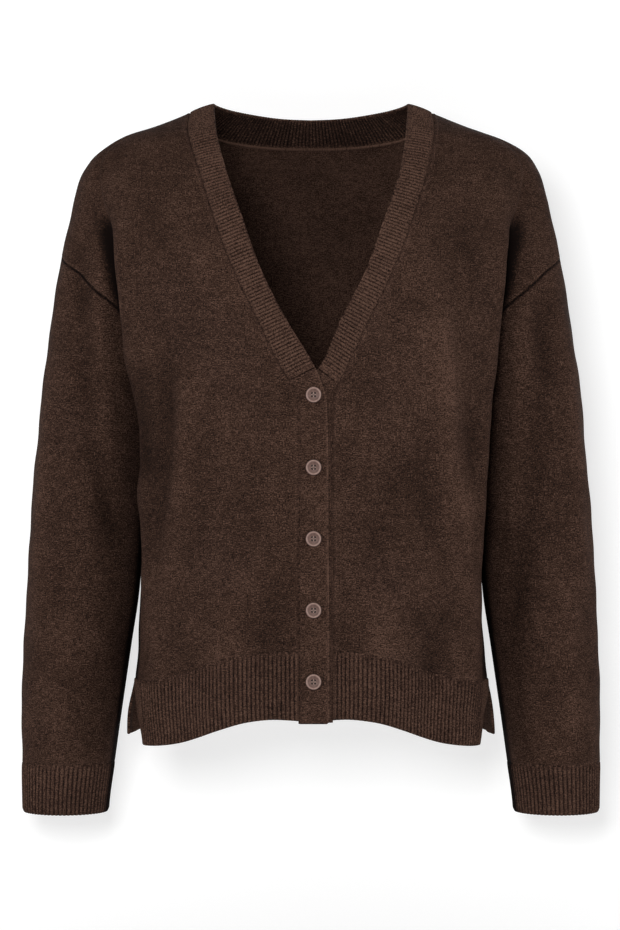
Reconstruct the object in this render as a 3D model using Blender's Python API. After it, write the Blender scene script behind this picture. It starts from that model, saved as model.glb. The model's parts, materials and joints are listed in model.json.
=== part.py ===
"""A v-neck cardigan in fine knit, filled out as on a wearer but hollow.

Run it with blender --background --python part.py, or from Blender's text editor.
Metres, +Z up, the front faces -Y. The origin lies between the high points of the shoulders,
where the wearer holds the garment. Left and right in the names are the wearer's.

The cloth is worked out in two steps. A form gives the shape that the cloth takes: at each height it is
a squarish oval for the trunk, a fold, and an oval for the arm. Each piece is then a flat pattern piece
laid on that form: a point of the pattern has a distance along the section and a height.
"""

import math

import bmesh
import bpy
import numpy as np
from mathutils import geometry

MM = 0.001

# Cloth
CLOTH = 2.0 * MM  # a wall of plain knit
RIB_WALL = 2.2 * MM  # a ribbed wall, from the inside to the middle of the ribs
RIB_RISE = 0.45 * MM  # how far a rib's crest stands over the middle, and its furrow under it
BAND_WALL = 2.4 * MM  # the doubled button bands
SEAM = 0.3 * MM  # the gap between two sewn pieces
OVERLAP = 1.6 * MM  # how far the closing's two layers lie from the form, one over and one under

# Heights, from the high point of the shoulder
NECK_POINT = -8.5 * MM  # where the neckline meets the shoulder seam
SHOULDER_TIP = -136 * MM  # where the shoulder seam meets the sleeve
ARMPIT = -235 * MM
VENT_TOP = -527 * MM
CUFF_SEAM = -604 * MM
CUFF_END = -650 * MM

CLOSING_X = 2.2 * MM  # the closing's middle lies this far to the wearer's left

# Trunk at the front and at the back: the ridge is where the fold in front of the sleeve stands out,
# the depth is in the middle, and the side is where the front and the back are sewn, or the vent's edge.
FRONT_COLUMNS = "z ridge_x ridge_y depth side_x side_y"
FRONT = """
  10   58 14  34 142 12
   0   82 18  38 142 12
  -8   99 20  41 142 12
 -20  126 26  48 142 12
 -32  158 31  62 142 12
 -45  178 36  71 142 12
 -60  184 40  82 142 12
 -85  184 47  96 142 12
-110  179 52 106 142 12
-140  175.5 55 113 142 12
-175  172 58 120 142 12
-205  169 60 124 142 12
-235  167 61 126 142 12
-238  166.7 61 126 138.8 12
-245  166 61 126 137.5 12
-275  162.5 60 126 138.5 12
-350  157.5 57 120 146 11
-425  152 52 116 150.5 8
-455  150 51 115.5 153 5
-500  150 51 116 157 0
-516  150 51.5 116.5 158.5 -1.5
-527  150 52 117 159.3 -3
-540  149.5 52.5 117 158 -12
-560  148 53 117.5 153.5 -25
-590  146 55 118 147 -38
"""
BACK_COLUMNS = "z ridge_x ridge_y depth side_x side_y"
BACK = """
  10   58 14  34 142 12
   0   82 18  40 142 12
  -8   99 20  46 142 12
 -20  124 27  56 142 12
 -32  154 34  64 142 12
 -45  172 41  72 142 12
 -60  180 46  79 142 12
 -85  176 56  88 142 12
-110  168 62  94 142 12
-140  160 66  99 142 12
-175  154 67 101 142 12
-205  151 66 101 142 12
-235  149 65 100 142 12
-238  149 65 100 138.8 12
-245  149 64 100 137.5 12
-275  147 62  97 138.5 12
-350  145 60  94 146 11
-425  146 58  96 150.5 8
-455  148 57  98 153 5
-500  151 56 101 157 0
-516  152 55.5 102 158.5 -1.5
-527  153 55 103 159.3 -3
-555  155 54 104 163.5 -7
-590  157 52 105 166 -10
"""
# Arm: an oval at each height
ARM_COLUMNS = "z outer half_w half_d centre_y"
ARM = """
  10   66   12   26  0
   0   91   18   30  0
  -8  109   22   32  0
 -20  138   28   34  0
 -32  172   34   36  0
 -45  195   38   39  0
 -60  207.5 40   42  1
 -85  216   44   46  3
-110  222   46   50  6
-140  228.5 48   53  9
-175  235.6 49   55 11
-205  240   50   56 12
-225  242.8 50.7 56 12
-235  244   51   56 12
-238  244.4 49.6 56 12
-245  245.2 49.3 56 12
-275  248.6 50.2 55 12
-350  255.7 51.4 53 12
-425  260.6 51.6 50 11
-455  262   50.8 48.5 10
-490  263.8 49   47 10
-530  265.2 46.8 44.5 9
-566  265.8 44.5 42 9
-604  265.6 41.8 39.5 8
-640  265   39   37.5 8
-660  264.5 38   36.5 8
"""
# Armhole: how far round the arm from its inner side, in degrees, lie the sleeve's seam and the crease
# between the trunk and the arm.
ARMHOLE_COLUMNS = "z seam crease"
ARMHOLE = """
  10  180 152
  -8  180 150
 -32  180 142
 -60  180 125
 -85  180 112
-110  180  96
-136  180  80
-146  150  74.5
-154  130  70.5
-166  110  66
-176   95  61.5
-187   78  55
-200   60  47
-212   42  36
-225   22  18
-235    0   0
"""
# Closing: the seams of the neckband and the button bands on the fronts, over and under, and the
# free edges, as distances from the closing's middle.
CLOSING_COLUMNS = "z over_seam under_seam over_edge under_edge"
CLOSING = """
  -5  110.3 110.3  88  88
  -9  110.3 110.3  87.6 87.6
 -24  111.7 111.7  86  86
 -45  108   108    82.5 82.5
 -67  102   102    77.5 77.5
-112   88    88    62.5 62.5
-162   69    69    44.5 44.5
-205   48    48    22.5 22.5
-246   28    29    -1.6 4
-254   23    25    -5  -2.5
-262   18    21    -8  -6.5
-272   14.5  18   -11 -8.5
-290   13    17   -12  -9
-380   13    17   -13  -9
-565   13    17   -14  -9
"""
# Back neckline: the band's seam and its free edge, by the distance from the middle
BACK_NECK_COLUMNS = "turn seam_x seam_z edge_x edge_y edge_z"
BACK_NECK = """
  0     0  -33    0   60  -6.4
 20    30  -32.5 25   57  -5.7
 40    60  -30   48   48  -4
 60    87  -25   70   32  -2
 80   104  -15   83   14  -0.5
 94   110.3 -8.5 88    0   0
"""
# Hem: the height of the ribs' seam and of the free edge by the distance from the middle
HEM_COLUMNS = "x front_seam front_edge back_seam back_edge"
HEM = """
  0  -495.5 -556.5 -510 -570
 40  -496.5 -555.5 -511 -570
 60  -499.5 -558.6 -512 -570.5
 80  -504.5 -565   -515 -572
100  -512   -572.5 -518 -574
120  -519   -579   -521.5 -575.5
145  -525   -583.5 -525 -577
170  -527   -585   -527 -578
"""


def read_table(columns, text):
    """The rows of a table in millimetres as a dictionary of columns in metres, lowest first."""
    names = columns.split()
    rows = np.array([[float(word) for word in line.split()] for line in text.split("\n") if line.strip()])
    rows = rows[np.argsort(rows[:, 0])]
    return {name: rows[:, i] * MM for i, name in enumerate(names)}


FRONT = read_table(FRONT_COLUMNS, FRONT)
BACK = read_table(BACK_COLUMNS, BACK)
ARM = read_table(ARM_COLUMNS, ARM)
ARMHOLE = read_table(ARMHOLE_COLUMNS, ARMHOLE)
CLOSING = read_table(CLOSING_COLUMNS, CLOSING)
BACK_NECK = read_table(BACK_NECK_COLUMNS, BACK_NECK)
HEM = read_table(HEM_COLUMNS, HEM)

TRUNK_POWER = 0.87  # under 1 makes the trunk's oval squarish
RIDGE_ANGLE = math.radians(64)  # where on that oval the ridge lies
TRUNK_STEPS = 4
FOLD_STEPS = 3
ARM_STEPS = 6
CREASE_KNOT = TRUNK_STEPS + FOLD_STEPS
FOLD_OPENING = 0.7  # under 1 holds the fold's two layers apart
FINENESS = 6  # points of a section to each of its knots
NEST_LOW = -470 * MM  # under this the side of the trunk is round, and over the other it folds in
NEST_HIGH = -300 * MM
SIDE_BULGE = 3 * MM


def smooth(knots, values, at):
    """A cubic through the knots, with each knot's slope taken from its neighbours."""
    at = np.clip(np.asarray(at, float), knots[0], knots[-1])
    slopes = np.gradient(values, knots)
    i = np.clip(np.searchsorted(knots, at) - 1, 0, len(knots) - 2)
    step = knots[i + 1] - knots[i]
    t = (at - knots[i]) / step
    start = (1 + 2 * t) * (1 - t) ** 2 * values[i] + t * (1 - t) ** 2 * step * slopes[i]
    end = t * t * (3 - 2 * t) * values[i + 1] + t * t * (t - 1) * step * slopes[i + 1]
    return start + end


def look_up(table, column, at, by="z"):
    return smooth(table[by], table[column], at)


def ease(low, high, value):
    """0 below low and 1 above high, with a smooth step between."""
    t = np.clip((np.asarray(value, float) - low) / (high - low), 0, 1)
    return t * t * (3 - 2 * t)


def seam_angle(z):
    return np.radians(np.clip(look_up(ARMHOLE, "seam", z) / MM, 0, 180))


def crease_angle(z):
    return np.radians(np.clip(look_up(ARMHOLE, "crease", z) / MM, 0, 180))


def arm_point(z, angle, toward):
    """A point of the arm's oval. The angle starts at its inner side; toward is -1 for the front."""
    half_w = look_up(ARM, "half_w", z)
    x = look_up(ARM, "outer", z) - half_w - half_w * np.cos(angle)
    y = look_up(ARM, "centre_y", z) + toward * look_up(ARM, "half_d", z) * np.sin(angle)
    return np.stack([x, y], -1)


def section_knots(z, toward):
    """The knots of half a section at each height: the trunk from its middle, the fold, then the arm."""
    table = FRONT if toward < 0 else BACK
    ridge = np.stack([look_up(table, "ridge_x", z), toward * look_up(table, "ridge_y", z)], -1)
    depth = look_up(table, "depth", z)
    side = np.stack([look_up(table, "side_x", z), look_up(table, "side_y", z)], -1)
    crease = np.where((z > ARMPIT)[:, None], arm_point(z, crease_angle(z), toward), side)

    flatness = np.log(abs(ridge[:, 1]) / depth) / math.log(math.cos(RIDGE_ANGLE))
    knots = []
    for angle in np.linspace(0, RIDGE_ANGLE, TRUNK_STEPS + 1):
        x = ridge[:, 0] * (math.sin(angle) / math.sin(RIDGE_ANGLE)) ** TRUNK_POWER
        knots.append(np.stack([x, toward * depth * math.cos(angle) ** flatness], -1))

    half_w = look_up(ARM, "half_w", z)
    half_d = look_up(ARM, "half_d", z)
    centre = np.stack([look_up(ARM, "outer", z) - half_w, look_up(ARM, "centre_y", z)], -1)

    def polar(point):
        """The angle and the size of a point as seen from the arm's middle, in half axes of its oval."""
        across = (centre[:, 0] - point[:, 0]) / half_w
        along = toward * (point[:, 1] - centre[:, 1]) / half_d
        return np.arctan2(along, across), np.hypot(along, across)

    ridge_turn, ridge_size = polar(ridge)
    crease_turn, crease_size = polar(crease)
    nest = ease(NEST_LOW, NEST_HIGH, z)[:, None]
    for step in range(1, FOLD_STEPS):
        part = step / FOLD_STEPS
        turn = ridge_turn + (crease_turn - ridge_turn) * part
        size = crease_size + (ridge_size - crease_size) * (1 - part) ** FOLD_OPENING
        hugging = centre + np.stack([-size * half_w * np.cos(turn), toward * size * half_d * np.sin(turn)], -1)
        plain = ridge + (crease - ridge) * part + np.array([SIDE_BULGE * 4 * part * (1 - part), 0])
        knots.append(nest * hugging + (1 - nest) * plain)
    knots.append(crease)
    for step in range(1, ARM_STEPS + 1):
        turn = crease_angle(z) + (math.pi - crease_angle(z)) * step / ARM_STEPS
        point = arm_point(z, turn, toward)
        knots.append(np.where((z > ARMPIT)[:, None], point, side))
    return np.stack(knots, 1)


def sections(z, toward):
    """Half a section at each height as a smooth line through its knots, and the distance along it."""
    z = np.asarray(z, float)
    knots = section_knots(z, toward)
    spans = np.diff(knots, axis=1)
    lengths = np.maximum(np.linalg.norm(spans, axis=2), 1e-6)[..., None]
    ways = spans / lengths
    slopes = np.empty_like(knots)
    slopes[:, 1:-1] = (lengths[:, :-1] * ways[:, 1:] + lengths[:, 1:] * ways[:, :-1]) / (
        lengths[:, :-1] + lengths[:, 1:]
    )
    slopes[:, 0] = (1, 0)
    slopes[:, -1] = (0, -toward)
    # The front and the back meet smoothly at the side, down to the vent.
    closed = ((z <= ARMPIT) & (z >= VENT_TOP - 5 * MM))[:, None]
    slopes[:, CREASE_KNOT] = np.where(closed, np.array([0, -toward]), slopes[:, CREASE_KNOT])
    loose = (z < VENT_TOP - 5 * MM)[:, None]
    slopes[:, CREASE_KNOT] = np.where(loose, ways[:, CREASE_KNOT - 1], slopes[:, CREASE_KNOT])
    t = (np.arange(FINENESS) / FINENESS)[None, None, :, None]
    a, b = knots[:, :-1, None], knots[:, 1:, None]
    run = lengths[:, :, None]
    line = (1 + 2 * t) * (1 - t) ** 2 * a + t * (1 - t) ** 2 * run * slopes[:, :-1, None]
    line = line + t * t * (3 - 2 * t) * b + t * t * (t - 1) * run * slopes[:, 1:, None]
    line = np.concatenate([line.reshape(len(z), -1, 2), knots[:, -1:]], 1)
    steps = np.linalg.norm(np.diff(line, axis=1), axis=2)
    along = np.concatenate([np.zeros((len(z), 1)), np.cumsum(steps, 1)], 1)
    return line, along


def sample(rows, place, values):
    """The value of each row at its own place, between the row's columns."""
    place = np.clip(place, 0, rows.shape[1] - 1.0001)
    i = place.astype(int)
    part = place - i
    r = np.arange(len(rows))
    if values.ndim == 3:
        part = part[:, None]
    return values[r, i] * (1 - part) + values[r, i + 1] * part


def on_form(w, z, toward):
    """The points of the form at distances w along the section at heights z."""
    w, z = np.broadcast_arrays(np.asarray(w, float), np.asarray(z, float))
    line, along = sections(z, toward)
    i = np.clip((along < w[:, None]).sum(1) - 1, 0, along.shape[1] - 2)
    r = np.arange(len(w))
    step = np.maximum(along[r, i + 1] - along[r, i], 1e-9)
    part = np.clip((w - along[r, i]) / step, 0, 1)[:, None]
    point = line[r, i] * (1 - part) + line[r, i + 1] * part
    return np.column_stack([point, z])


def distance_at_knot(knot, z, toward):
    """How far along the section a knot lies; the knot may be a fraction."""
    z = np.atleast_1d(np.asarray(z, float))
    line, along = sections(z, toward)
    return sample(along, np.broadcast_to(np.asarray(knot, float) * FINENESS, z.shape), along)


def distance_at_x(x, z, toward):
    """How far along the section the trunk passes the given x."""
    z = np.atleast_1d(np.asarray(z, float))
    x = np.broadcast_to(np.asarray(x, float), z.shape)
    line, along = sections(z, toward)
    furthest = line[:, :, 0].argmax(1)
    out = [
        np.interp(x[r], line[r, : furthest[r] + 1, 0], along[r, : furthest[r] + 1]) for r in range(len(z))
    ]
    return np.array(out)


def seam_knot(z):
    """Which knot the sleeve's seam lies at."""
    low, high = crease_angle(z), seam_angle(z)
    return CREASE_KNOT + ARM_STEPS * np.clip((high - low) / (math.pi - low), 0, 1)


NUDGE_W = 0.6 * MM
NUDGE_Z = 0.8 * MM


def with_normals(w, z, toward):
    """Points of the form and the way out of it at each."""
    point = on_form(w, z, toward)
    across = on_form(w + NUDGE_W, z, toward) - on_form(w - NUDGE_W, z, toward)
    up = on_form(w, z + NUDGE_Z, toward) - on_form(w, z - NUDGE_Z, toward)
    out = np.cross(across, up) if toward < 0 else np.cross(up, across)
    return point, out / np.maximum(np.linalg.norm(out, axis=1), 1e-12)[:, None]


def mirrored(points):
    return points * np.array([-1, 1, 1])


# ---- The closing: one front lies over the other ----

LIFT_Z = (-250 * MM, -190 * MM)  # the layers come together between these heights
LIFT_X = (26 * MM, 80 * MM)  # and between these distances from the middle


def closing_shift(z):
    """How far the closing's middle lies from the garment's, fading out toward the shoulders."""
    return CLOSING_X * (1 - ease(-80 * MM, -20 * MM, z))


def lift(x, z, side):
    """How far a layer of the closing lies from the form: the wearer's right (side -1) is over."""
    near = (1 - ease(*LIFT_Z, z)) * (1 - ease(*LIFT_X, np.abs(x)))
    return -side * OVERLAP * near


def at_x(x, z, toward=-1):
    """Points of the form and the way out of it, by their signed x."""
    x, z = np.broadcast_arrays(np.asarray(x, float), np.asarray(z, float))
    point, out = with_normals(distance_at_x(np.abs(x), z, toward), z, toward)
    sign = np.where(x < 0, -1.0, 1.0)
    point[:, 0] *= sign
    out[:, 0] *= sign
    middle = np.abs(x) < MM
    out[middle, 0] = 0
    out /= np.linalg.norm(out, axis=1)[:, None]
    return point, out


# ---- Walls ----


def rim(faces):
    """The open edges of a set of triangles, each in the triangle's own direction."""
    edges = {(f[i], f[(i + 1) % 3]) for f in faces for i in range(3)}
    return sorted(edge for edge in edges if edge[::-1] not in edges)


def wall(outer, inner, faces):
    """A closed wall from two layers with the same triangles."""
    count = len(outer)
    all_faces = list(faces) + [tuple(i + count for i in face[::-1]) for face in faces]
    for a, b in rim(faces):
        all_faces += [(b, a, a + count), (b, a + count, b + count)]
    return np.concatenate([outer, inner]), all_faces


def grid_faces(rows, columns, closed=False):
    """The triangles of a grid of points, stored row by row."""
    faces = []
    for r in range(rows - 1):
        for c in range(columns if closed else columns - 1):
            d = (c + 1) % columns
            a, b, p, q = r * columns + c, r * columns + d, (r + 1) * columns + d, (r + 1) * columns + c
            faces += [(a, b, p), (a, p, q)]
    return faces


def ribbed(outer, inner, closed):
    """A closed wall whose outer layer has two columns to each one of its inner layer."""
    rows, wide = outer.shape[:2]
    narrow = inner.shape[1]
    faces = grid_faces(rows, wide, closed)
    shift = rows * wide
    faces += [tuple(i + shift for i in face[::-1]) for face in grid_faces(rows, narrow, closed)]
    for row, order in ((0, 1), (rows - 1, -1)):
        for c in range(narrow if closed else narrow - 1):
            a, b, d = (row * wide + (2 * c + i) % wide for i in range(3))
            p, q = (shift + row * narrow + (c + i) % narrow for i in range(2))
            faces += [face[::order] for face in ((p, b, a), (p, q, b), (q, d, b))]
    if not closed:
        for row in range(rows - 1):
            for o, i, order in ((0, 0, 1), (wide - 1, narrow - 1, -1)):
                a, b = row * wide + o, (row + 1) * wide + o
                p, q = shift + row * narrow + i, shift + (row + 1) * narrow + i
                faces += [face[::order] for face in ((a, b, q), (a, q, p))]
    points = np.concatenate([outer.reshape(-1, 3), inner.reshape(-1, 3)])
    return points, faces


garment = bpy.data.collections.new("v_neck_cardigan")


def clear_scene():
    for obj in list(bpy.data.objects):
        bpy.data.objects.remove(obj)
    bpy.context.scene.collection.children.link(garment)


def material(name, colour, roughness):
    made = bpy.data.materials.new(name)
    made.use_nodes = True
    shader = made.node_tree.nodes["Principled BSDF"]
    shader.inputs["Base Color"].default_value = (*colour, 1)
    shader.inputs["Roughness"].default_value = roughness
    shader.inputs["Metallic"].default_value = 0
    made.diffuse_color = (*colour, 1)
    return made


KNIT_COLOUR = (0.045, 0.028, 0.021)
BUTTON_COLOUR = (0.20, 0.13, 0.115)


def add_piece(name, points, faces, colour=KNIT_COLOUR, roughness=0.9):
    """Makes one closed solid of a piece, with its faces out."""
    mesh = bpy.data.meshes.new(name)
    build = bmesh.new()
    vertices = [build.verts.new(point) for point in points]
    for face in faces:
        if len(set(face)) == 3:
            build.faces.new([vertices[i] for i in face])
    bmesh.ops.remove_doubles(build, verts=build.verts, dist=0.002 * MM)
    bmesh.ops.dissolve_degenerate(build, edges=build.edges, dist=0.002 * MM)
    bmesh.ops.triangulate(build, faces=build.faces)
    bmesh.ops.recalc_face_normals(build, faces=build.faces)
    build.to_mesh(mesh)
    build.free()
    obj = bpy.data.objects.new(name, mesh)
    mesh.materials.append(material(name, colour, roughness))
    garment.objects.link(obj)
    return obj


# ---- Panels: the fronts and the back ----

ARMHOLE_HEIGHTS = np.array([-235, -230, -223, -213, -202, -190, -178, -167, -158, -150, -144, -139, -136]) * MM
ROW_HEIGHTS = [-14, -19, -25, -32, -40, -50, -62, -78, -96, -114, -132, -150, -168, -186, -202, -216, -228]
ROW_HEIGHTS += list(range(-243, -515, -24))
COLUMNS = [4, 7, 5, 6, 10, 2, 3, 1, 9, 11, 0, 3.5, 2.5, 1.5, 0.5, 8, 12]
KEPT_APART = 13 * MM  # between two places inside a pattern piece
KEPT_IN = 8 * MM  # between its border and a place inside it
COINCIDE = 0.05 * MM


def heights(start, end, step):
    return np.linspace(start, end, max(2, round(abs(end - start) / step) + 1))


def inside(border, place):
    """Whether a place lies inside a border, by counting the sides over it."""
    x, y = border[:, 0], border[:, 1]
    u, v = np.roll(x, -1), np.roll(y, -1)
    crosses = (y > place[1]) != (v > place[1])
    where = x + (place[1] - y) * (u - x) / np.where(v == y, 1, v - y)
    return bool((crosses & (where > place[0])).sum() % 2)


def spaced(border):
    """The places of a border without those that all but coincide."""
    kept = [border[0]]
    for place in border[1:]:
        if np.hypot(*(place - kept[-1])) > COINCIDE:
            kept.append(place)
    if np.hypot(*(kept[0] - kept[-1])) < COINCIDE:
        kept.pop()
    return np.array(kept)


RIDGE_Z = np.linspace(10, -600, 1200) * MM
RIDGE_LENGTH = np.concatenate([
    [0], np.cumsum(np.hypot(np.diff(RIDGE_Z), np.diff(look_up(ARM, "outer", RIDGE_Z))))
])


def stretched(places):
    """Places with their height as a length down the shoulder's ridge, which lies nearly level at first."""
    return np.column_stack([places[:, 0], -np.interp(-places[:, 1], -RIDGE_Z, RIDGE_LENGTH)])


def unstretched(places):
    return np.column_stack([places[:, 0], np.interp(-places[:, 1], RIDGE_LENGTH, RIDGE_Z)])


def fill(border, places, solid_at):
    """The triangles of a pattern piece, from its border and the places wanted inside it."""
    kept = []
    near = solid_at(border)
    spots = solid_at(places)
    for place, spot in zip(places, spots):
        if not inside(border, place):
            continue
        if np.linalg.norm(near - spot, axis=1).min() < KEPT_IN:
            continue
        if kept and np.linalg.norm(near[len(border):] - spot, axis=1).min() < KEPT_APART:
            continue
        kept.append(place)
        near = np.vstack([near, spot])
    flat = stretched(np.vstack([border, kept])) / MM
    outline = [list(range(len(border)))]
    found = geometry.delaunay_2d_cdt([tuple(p) for p in flat], [], outline, 1, 1e-5)
    return unstretched(np.array([tuple(p) for p in found[0]]) * MM), [tuple(face) for face in found[2]]


HEM_ROUNDS = 8  # the height depends on x and x on the height, so it is found in rounds


def hem_line(knot, toward, column):
    """The hem's seam or edge along the form: the distance and the height at each knot."""
    z = np.full(len(knot), VENT_TOP)
    for _ in range(HEM_ROUNDS):
        w = distance_at_knot(knot, z, toward)
        z = look_up(HEM, column, on_form(w, z, toward)[:, 0], by="x")
    return distance_at_knot(knot, z, toward), z


def knot_at_x(x, z, toward):
    """The knot, with its fraction, at which the trunk passes the given x."""
    z = np.atleast_1d(np.asarray(z, float))
    line, _ = sections(z, toward)
    x = np.broadcast_to(x, z.shape)
    furthest = line[:, :, 0].argmax(1)
    steps = np.arange(line.shape[1]) / FINENESS
    return np.array(
        [np.interp(x[r], line[r, : furthest[r] + 1, 0], steps[: furthest[r] + 1]) for r in range(len(z))]
    )


def outer_border(toward):
    """From the hem's side up the side seam, round the armhole and up the shoulder to the neck."""
    column = "front_seam" if toward < 0 else "back_seam"
    side_z = hem_line(np.array([CREASE_KNOT]), toward, column)[1][0]
    side = np.concatenate([heights(side_z + SEAM, -252 * MM, 20 * MM), [-245 * MM, -240 * MM, -238 * MM]])
    side = np.concatenate([side, [-236.5 * MM, ARMPIT]])
    arm = ARMHOLE_HEIGHTS[1:]
    top = np.array([-120, -104, -88, -75, -64, -54, -46, -39, -33, -27, -21, -15, -11, -8.8]) * MM
    parts = [
        (distance_at_knot(CREASE_KNOT, side, toward), side),
        (distance_at_knot(seam_knot(arm), arm, toward), arm),
        (distance_at_knot(CREASE_KNOT + ARM_STEPS, top, toward), top),
    ]
    border = np.vstack([np.column_stack(part) for part in parts])
    # Three seams meet at the armpit, so the gap is wider there.
    border[:, 0] -= SEAM / 2 + SEAM * np.exp(-(((border[:, 1] - ARMPIT) / (3 * MM)) ** 2))
    return border


def candidates(toward):
    z = np.array(ROW_HEIGHTS) * MM
    return np.vstack([np.column_stack([distance_at_knot(k, z, toward), z]) for k in COLUMNS])


def front_border(side):
    """The pattern of a front: the hem's seam, then the outer border, then down the neck and the closing."""
    column = "over_seam" if side < 0 else "under_seam"
    first = look_up(CLOSING, column, -500 * MM) + side * CLOSING_X + SEAM / 2
    start = knot_at_x(first, -496 * MM, -1)[0]
    w, z = hem_line(np.linspace(start, CREASE_KNOT, 24), -1, "front_seam")
    hem = np.column_stack([w, z + SEAM])
    neck = np.concatenate([
        heights(NECK_POINT - MM, -40 * MM, 5 * MM),
        heights(-52 * MM, -235 * MM, 15 * MM),
        heights(-243 * MM, -285 * MM, 7 * MM),
        heights(-300 * MM, hem[0, 1] + 12 * MM, 20 * MM),
    ])
    # The neckband stands up from the shoulder, so its wall needs a little more room there.
    x = look_up(CLOSING, column, neck) + side * closing_shift(neck) + SEAM / 2
    x = x + SEAM * ease(-35 * MM, -12 * MM, neck)
    down = np.column_stack([distance_at_x(x, neck, -1), neck])
    return spaced(np.vstack([hem, outer_border(-1), down]))


def make_front(name, side):
    border = front_border(side)
    places, faces = fill(border, candidates(-1), lambda p: on_form(p[:, 0], p[:, 1], -1))
    middle, out = with_normals(places[:, 0], places[:, 1], -1)
    up = lift(middle[:, 0], middle[:, 2], side)[:, None]
    outer = middle + out * (up + CLOTH / 2)
    inner = middle + out * (up - CLOTH / 2)
    points, faces = wall(outer, inner, faces)
    add_piece(name, points if side > 0 else mirrored(points), faces)


def both_halves(places, toward):
    """Points and the way out for signed distances from the middle."""
    middle, out = with_normals(np.abs(places[:, 0]), places[:, 1], toward)
    sign = np.where(places[:, 0] < 0, -1.0, 1.0)
    middle[:, 0] *= sign
    out[:, 0] *= sign
    out[np.abs(places[:, 0]) < MM, 0] = 0
    return middle, out / np.linalg.norm(out, axis=1)[:, None]


def make_back():
    turn = np.linspace(0, 94, 14)[:-1] * MM
    neck_x = look_up(BACK_NECK, "seam_x", turn, by="turn")
    neck_z = look_up(BACK_NECK, "seam_z", turn, by="turn") - SEAM / 2
    neck = np.column_stack([distance_at_x(neck_x, neck_z, 1), neck_z])
    w, z = hem_line(np.linspace(0, CREASE_KNOT, 20), 1, "back_seam")
    hem = np.column_stack([w, z + SEAM])
    half = np.vstack([hem, outer_border(1), neck[::-1]])
    other = half[::-1] * (-1, 1)
    border = spaced(np.vstack([half, other]))
    right = candidates(1)
    places = np.vstack([right, right * (-1, 1)])
    places, faces = fill(border, places, lambda p: both_halves(p, 1)[0])
    middle, out = both_halves(places, 1)
    points, faces = wall(middle + out * CLOTH / 2, middle - out * CLOTH / 2, faces)
    add_piece("back", points, faces)


# ---- Sleeves and cuffs ----

SLEEVE_ROWS = [0, 0.012, 0.04, 0.1, 0.18, 0.28, 0.4, 0.52, 0.64, 0.76, 0.88, 1]
ARMPIT_GAP = 2.6 * MM  # the sleeve starts this much lower at the armpit, where three seams meet
ARMPIT_SPREAD = math.radians(34)  # and this far round from it the rest is mostly made up
CUFF_RIBS = 64


def sleeve_top(angle):
    """The height of the sleeve's seam by the angle round the arm."""
    z = np.linspace(ARMPIT, SHOULDER_TIP, 300)
    found = np.interp(np.abs(angle), np.maximum.accumulate(seam_angle(z)), z)
    return found - SEAM - ARMPIT_GAP * np.exp(-((angle / ARMPIT_SPREAD) ** 2))


def on_arm(angle, z):
    """Points of the arm by a signed angle, which is positive at the front, and the way out of it."""

    def place(a, height):
        toward = np.where(a > 0, -1.0, 1.0)
        return np.column_stack([arm_point(height, np.abs(a), toward), height])

    nudge = math.radians(1)
    turned = place(angle + nudge, z) - place(angle - nudge, z)
    down = place(angle, z - NUDGE_Z) - place(angle, z + NUDGE_Z)
    out = np.cross(down, turned)
    return place(angle, z), out / np.linalg.norm(out, axis=1)[:, None]


def make_sleeve(name, side):
    front = seam_angle(ARMHOLE_HEIGHTS)
    around = np.concatenate([-front[:0:-1], front[:-1]])
    angle = np.tile(around, len(SLEEVE_ROWS))
    part = np.repeat(SLEEVE_ROWS, len(around))
    top = sleeve_top(angle)
    z = top + (CUFF_SEAM + SEAM / 2 - top) * part
    middle, out = on_arm(angle, z)
    faces = grid_faces(len(SLEEVE_ROWS), len(around), closed=True)
    points, faces = wall(middle + out * CLOTH / 2, middle - out * CLOTH / 2, faces)
    add_piece(name, points if side > 0 else mirrored(points), faces)


def rib_layers(middle, out, rise):
    """The outer layer with its ribs, and the inner one with every other column."""
    outer = middle + out * (RIB_WALL / 2 + rise)[None, :, None]
    inner = (middle - out * RIB_WALL / 2)[:, ::2]
    return outer, inner


def make_cuff(name, side):
    columns = 2 * CUFF_RIBS
    around = (np.arange(columns) / columns * 2 - 1) * math.pi
    levels = np.array([CUFF_SEAM - SEAM / 2, CUFF_END])
    middle, out = on_arm(np.tile(around, 2), np.repeat(levels, columns))
    middle, out = middle.reshape(2, columns, 3), out.reshape(2, columns, 3)
    rise = np.where(np.arange(columns) % 2 == 1, RIB_RISE, -RIB_RISE)
    points, faces = ribbed(*rib_layers(middle, out, rise), closed=True)
    add_piece(name, points if side > 0 else mirrored(points), faces)


# ---- Hem ----

HEM_PITCH = 3.8 * MM
HEM_BORDER = 13 * MM  # the plain strip beside a vent


def hem_places(knots_top, toward, columns):
    """The seam and the edge of the hem over a run of knots."""
    rows = []
    for column, gap in zip(columns, (-SEAM / 2, 0)):
        w, z = hem_line(knots_top, toward, column)
        rows.append((w, z + gap))
    return rows


def even_knots(start, end, toward, column, ends):
    """Knots so that the columns are evenly spaced along the hem, with the given plain borders."""
    dense = np.linspace(start, end, 200)
    w, z = hem_line(dense, toward, column)
    along = np.concatenate([[0], np.cumsum(np.linalg.norm(np.diff(on_form(w, z, toward), axis=0), axis=1))])
    length = along[-1]
    ribs = round((length - sum(ends)) / HEM_PITCH)
    marks = np.linspace(ends[0], length - ends[1], 2 * ribs + 1)
    rise = np.where(np.arange(len(marks)) % 2 == 1, RIB_RISE, -RIB_RISE)
    if ends[1]:
        marks = np.concatenate([marks, [length - ends[1] / 2, length - SEAM]])
        rise = np.concatenate([rise, [0, 0]])
        rise[len(rise) - 3] = 0
    return np.interp(marks, along, dense), rise


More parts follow.
